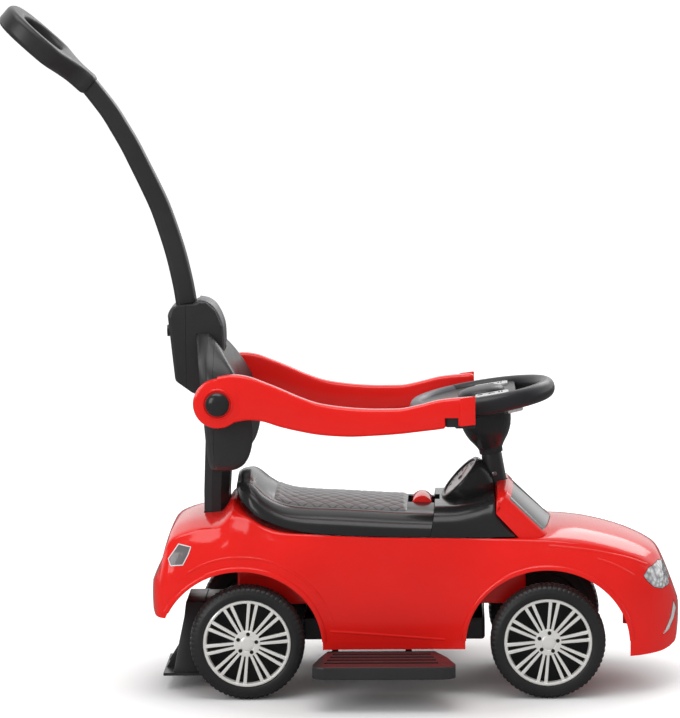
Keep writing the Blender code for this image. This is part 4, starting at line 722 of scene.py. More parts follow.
# Body shell: half sections at stations, refined both ways. Bottom, widest (w), crease (c) and top (t) places:
# station, bottom z, bottom half width, widest half width, its z, crease half width, its z, middle top z
body = dict(
    wall=0.003, gap=0.0003, parts=3, extraStation=0.0620, inlayPlay=0.0006,
    stations=[
        (-0.1210, 0.110, 0.078, 0.084, 0.130, 0.074, 0.146, 0.148),
        (-0.1170, 0.105, 0.098, 0.102, 0.130, 0.094, 0.152, 0.156),
        (-0.1110, 0.104, 0.111, 0.114, 0.132, 0.102, 0.163, 0.168),
        (-0.1050, 0.104, 0.117, 0.119, 0.135, 0.103, 0.184, 0.191),
        (-0.0980, 0.102, 0.119, 0.122, 0.140, 0.103, 0.199, 0.209),
        (-0.0850, 0.099, 0.120, 0.124, 0.145, 0.102, 0.207, 0.218),
        (-0.0650, 0.094, 0.120, 0.125, 0.150, 0.100, 0.213, 0.2245),
        (-0.0350, 0.080, 0.120, 0.126, 0.152, 0.098, 0.217, 0.2275),
        (-0.0180, 0.070, 0.120, 0.126, 0.152, 0.095, 0.232, 0.2480),
        (0.0000, 0.064, 0.119, 0.126, 0.150, 0.098, 0.229, 0.2350),
        (0.0200, 0.062, 0.117, 0.125, 0.147, 0.101, 0.218, 0.2200),
        (0.0450, 0.060, 0.114, 0.123, 0.142, 0.104, 0.2102, 0.2120),
        (0.0800, 0.060, 0.109, 0.116, 0.136, 0.1055, 0.2075, 0.2070),
        (0.1100, 0.060, 0.104, 0.110, 0.132, 0.1060, 0.2055, 0.2050),
        (0.1700, 0.060, 0.103, 0.108, 0.130, 0.1060, 0.2030, 0.2020),
        (0.2400, 0.060, 0.103, 0.108, 0.130, 0.1055, 0.2020, 0.2010),
        (0.2900, 0.060, 0.106, 0.112, 0.130, 0.1050, 0.2010, 0.2000),
        (0.3300, 0.060, 0.113, 0.118, 0.134, 0.1045, 0.2005, 0.2010),
        (0.3600, 0.058, 0.116, 0.120, 0.138, 0.1035, 0.1995, 0.2040),
        (0.3850, 0.056, 0.117, 0.121, 0.140, 0.1025, 0.1985, 0.2105),
        (0.4200, 0.054, 0.116, 0.121, 0.138, 0.1010, 0.1945, 0.2080),
        (0.4490, 0.052, 0.114, 0.119, 0.135, 0.0980, 0.1890, 0.2025),
        (0.4750, 0.051, 0.110, 0.115, 0.130, 0.0930, 0.1815, 0.1955),
        (0.4950, 0.051, 0.102, 0.106, 0.125, 0.0870, 0.1740, 0.1880),
        (0.5100, 0.051, 0.090, 0.095, 0.120, 0.0790, 0.1650, 0.1810),
        (0.5220, 0.051, 0.076, 0.081, 0.115, 0.0680, 0.1560, 0.1720),
        (0.5310, 0.052, 0.062, 0.067, 0.110, 0.0560, 0.1420, 0.1540),
        (0.5400, 0.055, 0.044, 0.049, 0.105, 0.0420, 0.1240, 0.1310),
        (0.5450, 0.060, 0.030, 0.036, 0.102, 0.0300, 0.1120, 0.1170),
        (0.5480, 0.078, 0.016, 0.020, 0.098, 0.0160, 0.1050, 0.1080),
    ],
    # x, z, half length and height of each wheel arch
    arches=[("rear", -0.008, 0.066, 0.103, 0.099), ("front", 0.379, 0.066, 0.104, 0.098)],
    lamp=[(0.5000, 0.1520), (0.5070, 0.1600), (0.5200, 0.1645), (0.5310, 0.1600), (0.5370, 0.1440),
          (0.5340, 0.1335), (0.5240, 0.1315), (0.5130, 0.1365), (0.5050, 0.1450)],
    tail=[(-0.0947, 0.1722), (-0.0802, 0.1734), (-0.0735, 0.1858), (-0.0706, 0.1941), (-0.0851, 0.1970),
          (-0.0976, 0.1796)],
    vent=[(0.5410, 0.1100), (0.5365, 0.0900), (0.5270, 0.0725), (0.5340, 0.0755), (0.5410, 0.0880),
          (0.5440, 0.1000)],
    grille=[(-0.024, 0.0820), (0.024, 0.0820), (0.030, 0.1010), (0.026, 0.1080), (-0.026, 0.1080),
            (-0.030, 0.1010)],
    # the node, its outline above, where it starts across the car, and its paint
    inlays=[("headlight", "lamp", 0.030, "lampClear"), ("tail_light", "tail", 0.030, "lampSmoke"),
            ("bumper_vent", "vent", 0.024, "brightTrim")],
    inlayOut=0.15, grilleReach=(0.53, 0.56),
    tailCut=[(-0.2, -0.01), (-0.2, 0.104), (-0.095, 0.104), (-0.095, -0.01)],
    # x, half width and z of the holes for the backrest's post, the seat's hinge and the deck under the seat
    holes=[((-0.0583, -0.0257), 0.0333, (0.14, 0.30)), ((-0.0113, 0.0113), 0.0403, (0.21, 0.27)),
           ((0.0165, 0.2960), 0.067, (0.17, 0.26))],
    columnHole=(0.17, 0.24, 0.0128),
)
# The steering column's line; a hole for it is low z, high z and radius
column = dict(footX=0.3454, lean=radians(9))
columnDir = Vector((-sin(column["lean"]), 0, cos(column["lean"])))


def onColumn(z):
    return (column["footX"] - (z - axleHeight) * tan(column["lean"]), 0, z)


def columnCut(low, high, radius):
    # A rod on the column's line between two heights, to cut a way for it
    return rounds("columnCut", onColumn(low), onColumn(high), radius)


def bodyHalf(x):
    zb, wb, ww, zw, wc, zc, zt = rowAt(body["stations"], x)[1:]
    half = [
        (wb, zb), (wb + (ww - wb) * 0.55, zb + (zw - zb) * 0.35), (ww - (ww - wb) * 0.06, zb + (zw - zb) * 0.75),
        (ww, zw), (ww - (ww - wc) * 0.10, zw + (zc - zw) * 0.35), (ww - (ww - wc) * 0.38, zw + (zc - zw) * 0.68),
        (wc + (ww - wc) * 0.22, zw + (zc - zw) * 0.90), (wc, zc), (wc - 0.010, zc + (zt - zc) * 0.30),
        (wc * 0.62, zc + (zt - zc) * 0.78), (wc * 0.30, zc + (zt - zc) * 0.96), (0, zt),
    ]
    return smoothPath(half, body["parts"])


def bodyRing(x, wall):
    half = bodyHalf(x)
    if wall:
        # the inside stands off sideways, past the crease from above too, and its foot goes lower
        low = 7 * body["parts"]
        side = [(max(y - wall, 0.001), z) for y, z in half[:low]]
        top = [(max(y - wall, 0), z - wall) for y, z in half[low:]]
        half = [(side[0][0], side[0][1] - 0.04), *side[1:], *top]
    return [at(x, y, z) for y, z in mirrored(half)]


def sideAt(x, z):
    # Half width of the body's outside at a height
    half = bodyHalf(x)
    for (ya, za), (yb, zb) in zip(half, half[1:]):
        if za <= z <= zb and zb > za:
            return ya + (yb - ya) * (z - za) / (zb - za)
    return half[0][0] if z < half[0][1] else half[-2][0]


def archPoints(shape, steps, grow=0.0):
    x, z, rx, rz = shape[1:]
    turns = [pi * n / steps for n in range(steps + 1)]
    return [(x + (rx + grow) * cos(a), z + (rz + grow) * sin(a)) for a in turns]


def makeBody():
    wall, gap = body["wall"], body["gap"]
    marks = sorted([row[0] for row in body["stations"]] + [body["extraStation"]])
    fine = between(marks, body["parts"])
    inside = [x for x in fine if marks[2] <= x <= marks[-4]]        # the thin ends stay solid
    shell = skinOf("body_shown", [bodyRing(x, 0) for x in fine])
    cutters = [skinOf("hollow", [bodyRing(x, wall) for x in [marks[0] + wall, *inside, marks[-1] - wall]])]
    for shape in body["arches"]:
        points = archPoints(shape, 72)
        cutters.append(prism("arch", [(points[0][0], -0.01), *points, (points[-1][0], -0.01)], -across, across))
    cutters.append(prism("tailCut", body["tailCut"], -across, across))
    cutters += [box("hole", x, (-half, half), z) for x, half, z in body["holes"]]
    cutters.append(columnCut(*body["columnHole"]))
    for cutter in cutters:
        shell = carved(shell, cutter, solver="MANIFOLD")
    whole = twin(shell, "whole")
    inlays = [(name + "_" + word, body[outline], *sorted((side * start, side * body["inlayOut"])), "Y", paint)
              for word, side in sides for name, outline, start, paint in body["inlays"]]
    inlays.append(("front_grille", body["grille"], *body["grilleReach"], "X", "blackSatin"))
    for name, outline, low, high, axis, paint in inlays:
        piece = prism(name + "_shown", outline, low, high, axis)
        inPlaceOf(carved(piece, twin(whole, "tool"), "INTERSECT", "MANIFOLD"), name, paint)
        hole = prism("hole", grown(outline, body["inlayPlay"]), low - gap, high + gap, axis)
        shell = carved(shell, hole, solver="MANIFOLD")
    bpy.data.objects.remove(whole, do_unlink=True)
    inPlaceOf(shell, "body_shell", "redGloss", 38)


def surfaceStrip(name, side, points, profile, paint="redGloss"):
    # A line along the body's side; profile is (across, out) in the plane square to the line
    rings = []
    for (x, z), along in zip(points, headings(points)):
        ring = []
        for a, b in profile:
            u, v = x - along.y * a, z + along.x * a
            ring.append(at(u, side * (sideAt(u, v) + b), v))
        rings.append(ring)
    dress(skinOf(name, rings), "chassis", paint, 50)


# Raised lines on the body: their sections (across, out), and where the creases run (x, z)
lines = dict(
    lip=[(0.0008, -0.0030), (0.0008, 0.0012), (-0.0008, 0.0020), (-0.0030, 0.0021), (-0.0046, 0.0012),
         (-0.0058, -0.0002), (-0.0058, -0.0020)],
    ridge=[(-0.0018, -0.0010), (-0.0018, 0.0), (-0.0006, 0.0008), (0.0006, 0.0008), (0.0018, 0.0),
           (0.0018, -0.0010)],
    edge=[(-0.0006, -0.0012), (-0.0006, 0.0006), (0.0006, 0.0006), (0.0006, -0.0012)],
    archSteps=60, lipEnds=(-0.094, 0.1065), creaseOut=0.017, creaseSteps=slice(4, -19),
    hoodCrease=[(0.381, 0.1925), (0.413, 0.1890), (0.445, 0.1835), (0.480, 0.1745), (0.505, 0.1640)],
    fenderBevel=[(0.440, 0.1760), (0.458, 0.1700), (0.474, 0.1620), (0.488, 0.1530)],
    sillCrease=[(0.104, 0.0840), (0.150, 0.0805), (0.200, 0.0765), (0.249, 0.0725)],
)


def makeBodyLines():
    tailX, tailZ = lines["lipEnds"]           # the rear lip ends where the tail is cut away
    for word, side in sides:
        for shape in body["arches"]:
            shown = [(x, z) for x, z in archPoints(shape, lines["archSteps"])[1:-1] if x > tailX or z > tailZ]
            surfaceStrip("arch_lip_%s_%s" % (shape[0], word), side, shown, lines["lip"])
        outer = archPoints(body["arches"][0], lines["archSteps"], lines["creaseOut"])[lines["creaseSteps"]]
        surfaceStrip("arch_crease_" + word, side, outer, lines["ridge"])
        for name in ("hoodCrease", "fenderBevel", "sillCrease"):
            surfaceStrip(name + "_" + word, side, smoothPath(lines[name], 6), lines["ridge"])
        outline = [Vector(p) for p in grown(body["tail"], body["inlayPlay"])]
        surfaceStrip("tail_outline_" + word, side, between(outline + outline[:1], 4), lines["edge"], "markWhite")


makeBody()
makeBodyLines()
print("body made")

# Guard arms: station, top z, bottom z
arm = dict(
    rows=[(-0.0330, 0.4105, 0.3462), (-0.0140, 0.4130, 0.3525), (0.0050, 0.4105, 0.3558), (0.0230, 0.4040, 0.3540),
          (0.0450, 0.3950, 0.3470), (0.0700, 0.3840, 0.3410), (0.0950, 0.3755, 0.3365), (0.1330, 0.3700, 0.3340),
          (0.1650, 0.3683, 0.3352), (0.1950, 0.3685, 0.3372), (0.2200, 0.3735, 0.3400), (0.2460, 0.3797, 0.3430),
          (0.2890, 0.3835, 0.3500)],
    inside=0.1060, outside=0.1240, corner=0.00468, endRound=0.0060, endTrim=0.0033, sideTrim=0.6,
    pivot=(-0.0330, 0.3765),
    boss=[(0.0, 0.1060), (0.0280, 0.1060), (0.0310, 0.1090), (0.0310, 0.1201), (0.0298, 0.1229), (0.0270, 0.1241),
          (0.0, 0.1241)],
    # x, y and z of the ways in which the yoke's end lies, and the pivot pin's radius
    ways=[((0.2485, 0.2855), (0.1090, 0.1210), (0.33, 0.3785)),
          ((0.2510, 0.2680), (0.1200, 0.1340), (0.33, 0.3575)),
          ((0.2610, 0.2920), (0.09, 0.1100), (0.33, 0.3500)),
          ((0.2820, 0.2920), (0.09, 0.1210), (0.33, 0.3500))],
    pin=0.0045,
    # The raised collar at the tip: its two ends, how far it passes the arm there, and y
    collarAt=0.2800, collarX=(0.2700, 0.2893), collarLow=(-0.0018, 0.0002), collarHigh=(-0.0004, 0.0020),
    collarY=(0.1222, 0.1252), collarEdge=0.0012,
    ring=[(0.0168, 0.1232), (0.0168, 0.1250), (0.0173, 0.1256), (0.0190, 0.1256), (0.0196, 0.1250),
          (0.0196, 0.1232)],
    cap=[(0.0, 0.0810), (0.0040, 0.0810), (0.0040, 0.1255), (0.0140, 0.1255), (0.0150, 0.1262), (0.0150, 0.1278),
         (0.0142, 0.1292), (0.0120, 0.1310), (0.0090, 0.1323), (0.0060, 0.1331), (0.0030, 0.1335), (0.0, 0.1335)],
)


def roundedSection(low, high, left, right, corner, steps=5):
    # A rounded rectangle as (u, v) points
    out = []
    for u, v, start in ((right - corner, high - corner, 0), (left + corner, high - corner, 90),
                        (left + corner, low + corner, 180), (right - corner, low + corner, 270)):
        turns = [radians(start + 90 * n / steps) for n in range(steps + 1)]
        out += [(u + corner * cos(a), v + corner * sin(a)) for a in turns]
    return out


def makeArm(word, side):
    first, last = arm["rows"][0][0], arm["rows"][-1][0]
    endRound = arm["endRound"]
    stations = [first + (last - endRound - first) * n / 64 for n in range(65)]
    stations += [last - endRound * (1 - sin(radians(a))) for a in (20, 40, 60, 75, 90)]
    rings = []
    for x in stations:
        top, bottom = rowAt(arm["rows"], x)[1:]
        over = max(x - (last - endRound), 0) / endRound
        trim = arm["endTrim"] * (1 - sqrt(max(1 - over * over, 0)))
        sideTrim = trim * arm["sideTrim"]
        section = roundedSection(bottom + trim, top - trim, arm["inside"] + sideTrim, arm["outside"] - sideTrim,
                                 arm["corner"])
        rings.append([at(x, side * y, z) for y, z in section])
    x, z = arm["pivot"]
    middle, out = at(x, 0, z), (0, side, 0)
    made = carved(skinOf("guard_arm_shown_" + word, rings), lathe("boss", arm["boss"], middle, out, 72), "UNION")
    for wayX, wayY, wayZ in arm["ways"]:
        made = carved(made, box("way", wayX, sorted(side * y for y in wayY), wayZ))
    made = carved(made, rounds("pinWay", (x, side * 0.09, z), (x, side * 0.14, z), arm["pin"]))
    inPlaceOf(made, "guard_arm_" + word, "redGloss", 38)
    top, bottom = rowAt(arm["rows"], arm["collarAt"])[1:]
    (rear, tip), lows, highs = arm["collarX"], arm["collarLow"], arm["collarHigh"]
    outline = [(rear, bottom + lows[0]), (tip, bottom + lows[1]), (tip, top + highs[1]), (rear, top + highs[0])]
    collar = prism("arm_collar_" + word, outline, *sorted(side * y for y in arm["collarY"]))
    dress(bevelled(collar, arm["collarEdge"], 3), "arm_" + word, "redGloss", 40)
    dress(lathe("arm_ring_" + word, arm["ring"], middle, out, 64), "arm_" + word, "redGloss", 40)
    inPlaceOf(lathe("arm_pivot_shown_" + word, arm["cap"], middle, out, 48), "arm_pivot_" + word, "blackGloss", 50)


for word, side in sides:
    makeArm(word, side)
print("guard arms made")

# Push pole and its handle
pole = dict(deep=0.0130, half=0.0150, corner=0.0062, taper=0.12,
            line=[(-0.0785, 0.4920), (-0.0825, 0.5170), (-0.0905, 0.5530), (-0.0995, 0.5835), (-0.1105, 0.6155),
                  (-0.1230, 0.6435), (-0.1350, 0.6685), (-0.1475, 0.6940), (-0.1600, 0.7160), (-0.1740, 0.7390),
                  (-0.1980, 0.7705)],
            # the tang that stands in the socket: half depth, half width, corner, its way and its two ends
            tang=(0.0100, 0.0110, 0.002), tangWay=(-0.0085, 0, 0.0500), tangReach=(0.004, -0.070),
            # the grip is a flat loop: its own way, and where its foot stands past the pole's end
            gripWay=(-0.745, 0, 0.667), gripFoot=(-0.0001818, 0, 0.00023862), thick=0.0135, gripEdge=0.0085,
            grip=[(-0.002, -0.016), (0.020, -0.0185), (0.036, -0.036), (0.050, -0.058), (0.066, -0.068),
                  (0.098, -0.068), (0.122, -0.058), (0.136, -0.038), (0.1405, -0.014)],
            slot=[(0.058, -0.030), (0.072, -0.048), (0.098, -0.047), (0.110, -0.034), (0.115, -0.010)])


def sweepRings(points, sizeOf, corner):
    # Rounded sections along (x, z) points; sizeOf gives half depth and half width from 0 to 1 along the way
    rings = []
    for i, ((x, z), ahead) in enumerate(zip(points, headings(points))):
        athwart = Vector((ahead.y, 0, -ahead.x))
        deep, half = sizeOf(i / (len(points) - 1))
        rings.append([at(x, b, z) + athwart * a for a, b in roundedSection(-half, half, -deep, deep, corner, 6)])
    return rings


def makePole():
    def size(t):
        return pole["deep"] * (1 - pole["taper"] * t), pole["half"] * (1 - pole["taper"] * t)

    tube = skinOf("tube", sweepRings(smoothPath(pole["line"], 6), size, pole["corner"]))
    foot, end = (Vector((x, 0, z)) for x, z in (pole["line"][0], pole["line"][-1]))
    down = Vector(pole["tangWay"]).normalized()
    reach = [foot + down * s for s in pole["tangReach"]]
    tang = skinOf("tang", sweepRings([(p.x, p.z) for p in reach], lambda t: pole["tang"][:2], pole["tang"][2]))
    inPlaceOf(gathered("push_pole_shown", tube, tang), "push_pole", "blackSatin")

    way = Vector(pole["gripWay"]).normalized()
    normal = Vector((way.z, 0, -way.x))
    base = end + Vector(pole["gripFoot"])

    def onGrip(a, b, w):
        return at(*(base + way * a + normal * w)) + Vector((0, b, 0))

    outer, inner = (smoothLoop(line + [(a, -b) for a, b in line[::-1]], 4) for line in (pole["grip"], pole["slot"]))
    grip = carved(plate("push_handle_shown", outer, -pole["thick"], pole["thick"], onGrip),
                  plate("slot", inner, -0.03, 0.03, onGrip))
    inPlaceOf(bevelled(grip, pole["gripEdge"], 6, 50), "push_handle", "blackSatin")


makePole()
print("pole and handle made")

# Steering wheel, made about its own centre and laid on the column's line
ring = dict(z=0.3670, middle=0.084, radial=0.0100, axial=0.0120, around=20, degreesPerStep=3,
            segment=(115, 245), seam=0.6, seamOut=0.0003,
            padRadius=0.0770, padFront=0.0440, padThick=0.0065, padEdge=0.0022, padSteps=60,
            buttonX=(-0.0080, 0.0350), buttonY=(0.0340, 0.0570), buttonCorner=0.0045, buttonEdge=0.0011,
            buttonUp=0.0030, pocketPlay=0.0005, underPlay=0.0003, depth=0.0040, travel=0.0025,
            dome=[(0.0, -0.0120), (0.0240, -0.0120), (0.0300, -0.0040), (0.0304, 0.0040), (0.0300, 0.0075),
                  (0.0286, 0.0100), (0.0255, 0.0122), (0.0200, 0.0136), (0.0120, 0.0146), (0.0, 0.0150)],
            stalk=[(0.030, -0.0700), (0.048, -0.0620), (0.050, -0.0560), (0.030, -0.0600)],
            stalkReach=(-0.0170, -0.0080), stalkEdge=0.0016,
            # the signs on each button, from its middle: an arrow, two bars (x and x) and a dot (x and radius),
            # and their heights from the button's top
            signHeights=(-0.0004, 0.00025),
            arrow=[(-0.004, -0.0045), (0.0040, 0.0), (-0.004, 0.0045)],
            bars=[(0.0085, 0.0105), (0.0120, 0.0140)], barHalf=0.0040, dot=(-0.0150, 0.0035))
ringCentre = at(*onColumn(ring["z"]))
ringTurn = Vector((0, 0, 1)).rotation_difference(columnDir).to_matrix()


def onRing(u, v, w):
    return ringCentre + ringTurn @ Vector((u, v, w))


def ringArc(name, start, end, grow=0.0):
    # A piece of the rim between two angles, as thick as the rim or thicker by grow
    section = [(ring["middle"] + (ring["radial"] + grow) * u, (ring["axial"] + grow) * v)
               for u, v in circle(1, ring["around"])]
    steps = max(int((end - start) / ring["degreesPerStep"]), 6)
    rings = []
    for n in range(steps + 1):
        a = radians(start + (end - start) * n / steps)
        rings.append([onRing(radius * cos(a), radius * sin(a), height) for radius, height in section])
    return skinOf(name, rings)


def makeSteering():
    low, high = ring["segment"]
    (xa, xb), (ya, yb) = ring["buttonX"], ring["buttonY"]
    thick, play = ring["padThick"], ring["pocketPlay"]
    start = acos(ring["padFront"] / ring["padRadius"])
    turns = [start + (2 * pi - 2 * start) * n / ring["padSteps"] for n in range(ring["padSteps"] + 1)]
    outline = [(ring["padRadius"] * cos(a), ring["padRadius"] * sin(a)) for a in turns]
    pad = bevelled(plate("pad", outline, -thick, thick, onRing), ring["padEdge"], 4)
    for word, side in sides:
        corners = [(x, side * y) for x, y in ((xa - play, ya - play), (xb + play, ya - play),
                                              (xb + play, yb + play), (xa - play, yb + play))]
        pad = carved(pad, plate("pocket", corners, thick - ring["depth"] - ring["travel"], 0.03, onRing))
    made = gathered("steering_wheel_shown", ringArc("arc", high - 360, low), pad,
                    lathe("dome", ring["dome"], ringCentre, columnDir, 60))
    inPlaceOf(made, "steering_wheel", "wheelGrey")
    turning = bodyOf("steering_wheel")
    dress(ringArc("wheel_segment", low, high), turning, "segmentGrey", 40)
    for n, a in enumerate(ring["segment"]):
        seam = ringArc("wheel_seam_%d" % n, a - ring["seam"], a + ring["seam"], ring["seamOut"])
        dress(seam, turning, "markBlack", 40)
    stalk = bevelled(plate("wheel_stalk", ring["stalk"], *ring["stalkReach"], onRing), ring["stalkEdge"], 3)
    dress(stalk, turning, "silverPlastic", 40)
    base, top = thick - ring["depth"] + ring["underPlay"], thick + ring["buttonUp"]
    wide, long = (yb - ya) / 2, (xb - xa) / 2
    dotX, dotRadius = ring["dot"]
    signs = [ring["arrow"],
             *([(a, -ring["barHalf"]), (b, -ring["barHalf"]), (b, ring["barHalf"]), (a, ring["barHalf"])]
               for a, b in ring["bars"]),
             [(dotX + u, v) for u, v in circle(dotRadius, 20)]]
    for word, side in sides:
        middleX, middleY = (xa + xb) / 2, side * (ya + yb) / 2
        outline = [(middleX + u, middleY + v)
                   for u, v in roundedSection(-wide, wide, -long, long, ring["buttonCorner"])]
        button = bevelled(plate("wheel_button_shown_" + word, outline, base, top, onRing), ring["buttonEdge"], 3)
        inPlaceOf(button, "wheel_button_" + word, "silverPlastic")
        for n, sign in enumerate(signs):
            shape = [(middleX + u, middleY + v) for u, v in sign]
            heights = (top + lift for lift in ring["signHeights"])
            mark = plate("button_mark_%s_%d" % (word, n), shape, *heights, onRing)
            dress(mark, bodyOf("wheel_button_" + word), "markBlack")


makeSteering()
print("steering wheel made")

# Seat lid with its quilted pad
# station, skirt bottom z, half width, middle top z, half width of the flat middle
seat = dict(
    rows=[(-0.0140, 0.2600, 0.0640, 0.2725, 0.040), (-0.0090, 0.2510, 0.0790, 0.2750, 0.052),
          (0.0020, 0.2400, 0.0920, 0.2762, 0.060), (0.0110, 0.2320, 0.0970, 0.2715, 0.064),
          (0.0220, 0.2262, 0.1005, 0.2620, 0.066), (0.0380, 0.2200, 0.1030, 0.2525, 0.066),
          (0.0550, 0.2150, 0.104, 0.2470, 0.066), (0.0800, 0.2100, 0.104, 0.2442, 0.066),
          (0.1250, 0.2065, 0.104, 0.2418, 0.066), (0.1800, 0.2045, 0.104, 0.2385, 0.066),
          (0.2400, 0.2040, 0.104, 0.2360, 0.066)],
    wall=0.003, hinge=(0.0, 0.2620), sweep=0.2382, crown=0.0065, hollow=(0.0020, 0.1800), skirtDrop=0.02,
    knuckleY=(0.0185, 0.0290), knuckle=0.006, bore=0.003, rib=((-0.003, 0.003), (0.2640, 0.2715)),
    # the latch's tray and the opening above it, as x, y and z
    tray=((0.2010, 0.2345), (-0.0285, 0.0285), (0.2160, 0.2350)),
    opening=((0.2030, 0.2455), (-0.0265, 0.0265), (0.2185, 0.2600)))


def seatHalf(x):
    low, half, top, flat = rowAt(seat["rows"], x)[1:]
    crown = seat["crown"]
    return (shoulderArc(flat, half, low, top - crown)
            + [(flat * t, top - crown * t * t) for t in (0.85, 0.7, 0.5, 0.25)] + [(0, top)])


def seatRing(x, wall):
    half = seatHalf(x)
    if wall:
        foot, skirt, top = half[0], half[1:16], half[16:]
        half = [(foot[0] - wall, foot[1] - seat["skirtDrop"]),
                *((y - wall, z - wall * n / 15) for n, (y, z) in enumerate(skirt)),
                *((max(y - wall, 0), z - wall) for y, z in top)]
    return [at(x, y, z) for y, z in mirrored(half)]


def seatTop(x, y):
    half = seatHalf(x)[::-1]
    for (ya, za), (yb, zb) in zip(half, half[1:]):
        if ya <= abs(y) <= yb and yb > ya:
            return za + (zb - za) * (abs(y) - ya) / (yb - ya)
    return half[-1][1]


def makeSeat():
    wall = seat["wall"]
    marks = between([row[0] for row in seat["rows"]], 4)
    x, z = seat["hinge"]

    def onHinge(name, left, right, radius, steps=32):
        return rounds(name, (x, left, z), (x, right, z), radius, steps)

    lid = skinOf("seat_lid_shown", [seatRing(mark, 0) for mark in marks])
    lid = carved(lid, onHinge("sweep", -across, across, seat["sweep"], 240), "INTERSECT", "MANIFOLD")
    inner = [mark for mark in marks if seat["hollow"][0] <= mark <= seat["hollow"][1]]
    space = skinOf("space", [seatRing(mark, wall) for mark in [marks[0] + wall, *inner, marks[-1] - 3 * wall]])
    lid = carved(lid, space, solver="MANIFOLD")
    extras = []
    for word, side in sides:
        ys = sorted(side * y for y in seat["knuckleY"])
        knuckle = carved(onHinge("knuckle", *ys, seat["knuckle"]), onHinge("bore", -0.04, 0.04, seat["bore"]))
        extras += [knuckle, box("rib", seat["rib"][0], ys, seat["rib"][1])]
    lid = carved(lid, box("opening", *seat["opening"]))
    extras.append(carved(box("tray", *seat["tray"]), box("traySpace", *seat["opening"])))
    inPlaceOf(gathered("seat_lid_shown", lid, *extras), "seat_lid", "blackGloss")


# The pad moulded in the lid: its ends and half width, and a puffed diamond pattern over a smooth lift
quilt = dict(ends=(0.034, 0.2020), half=0.066, lengths=178, columns=132, edge=0.006, diamond=0.0098, puff=0.0011,
             puffPower=0.45, lift=0.0012, under=0.0008)


def makeQuilt():
    (xa, xb), half, edge = quilt["ends"], quilt["half"], quilt["edge"]
    columns, lengths = quilt["columns"], quilt["lengths"]
    bm = bmesh.new()
    rows, under = [], []
    for i in range(lengths + 1):
        x = xa + (xb - xa) * i / lengths
        row, low = [], []
        for j in range(columns + 1):
            y = -half + 2 * half * j / columns
            near = min((x - xa) / edge, (xb - x) / edge, (half - abs(y)) / edge, 1.0)
            tuck = 1 - (1 - max(near, 0)) ** 2
            a, b = (x + y) / quilt["diamond"], (x - y) / quilt["diamond"]
            puff = (abs(sin(pi * a / 2)) * abs(sin(pi * b / 2))) ** quilt["puffPower"]
            z = seatTop(x, y)
            row.append(bm.verts.new(at(x, y, z + tuck * (quilt["lift"] + quilt["puff"] * puff))))
            low.append(bm.verts.new(at(x, y, z - quilt["under"])))
        rows.append(row)
        under.append(low)
    for grid, hand in ((rows, 1), (under, -1)):
        for i in range(lengths):
            for j in range(columns):
                bm.faces.new((grid[i][j], grid[i + 1][j], grid[i + 1][j + 1], grid[i][j + 1])[::hand])
    for i in range(lengths):
        for j, hand in ((0, 1), (columns, -1)):
            bm.faces.new((rows[i][j], under[i][j], under[i + 1][j], rows[i + 1][j])[::hand])
    for j in range(columns):
        for i, hand in ((0, -1), (lengths, 1)):
            bm.faces.new((rows[i][j], under[i][j], under[i][j + 1], rows[i][j + 1])[::hand])
    dress(fromMesh("seat_quilt", bm), bodyOf("seat_lid"), "quiltBlack", 55)


makeSeat()
makeQuilt()
print("seat made")

# Latch tab: a rounded red block on its slider. The boxes are x, y and z
latch = dict(half=0.0245, tabX=0.2210, tabZ=0.2305, radius=0.0132, edge=0.0022, steps=24,
             foot=[(0.0006, -0.0010), (0.003, -0.0016), (-0.003, -0.0016), (0.0, -0.0012)],
             stem=((0.2230, 0.2330), (-0.0175, 0.0175), (0.2190, 0.2310)),
             slider=((0.2120, 0.2395), (-0.0175, 0.0175), (0.2190, 0.2232)),
             springWay=((0.2100, 0.2175), (-0.0055, 0.0055), (0.21, 0.23)))


def makeLatch():
    x, z, r, steps = latch["tabX"], latch["tabZ"], latch["radius"], latch["steps"]
    outline = [(x + r * cos(pi * n / steps), z + r * sin(pi * n / steps)) for n in range(steps + 1)]
    outline += [(x + end + u, z + v) for end, (u, v) in zip((-r, -r, r, r), latch["foot"])]
    tab = bevelled(prism("tab", outline, -latch["half"], latch["half"]), latch["edge"], 4, 40)
    slider = carved(box("slider", *latch["slider"]), box("springWay", *latch["springWay"]))
    made = gathered("seat_latch_shown", tab, box("stem", *latch["stem"]), slider)
    inPlaceOf(made, "seat_latch", "redGloss")


makeLatch()

# Bell and sleeve, turned smooth, and a screw in the sleeve: where each stands on the column, and its profile
shaft = dict(bellZ=0.2953, sleeveZ=0.1860, screwZ=0.2700, screwY=-0.0137,
             bell=[(0.0140, 0.0), (0.0150, 0.0005), (0.0152, 0.0060), (0.0170, 0.0095), (0.0200, 0.0140),
                   (0.0245, 0.0200), (0.0280, 0.0265), (0.0305, 0.0330), (0.0322, 0.0410), (0.0330, 0.0480),
                   (0.0332, 0.0560), (0.0326, 0.0583), (0.0310, 0.0587), (0.0065, 0.0587), (0.0065, 0.0)],
             sleeve=[(0.0065, 0.0), (0.0150, 0.0), (0.0144, 0.040), (0.0136, 0.080), (0.0132, 0.1080),
                     (0.0126, 0.1103), (0.0065, 0.1103)],
             screw=[(0.0, -0.0020), (0.0030, -0.0020), (0.0030, 0.0006), (0.0024, 0.0010), (0.0010, 0.0010),
                    (0.0008, 0.0004), (0.0, 0.0004)])


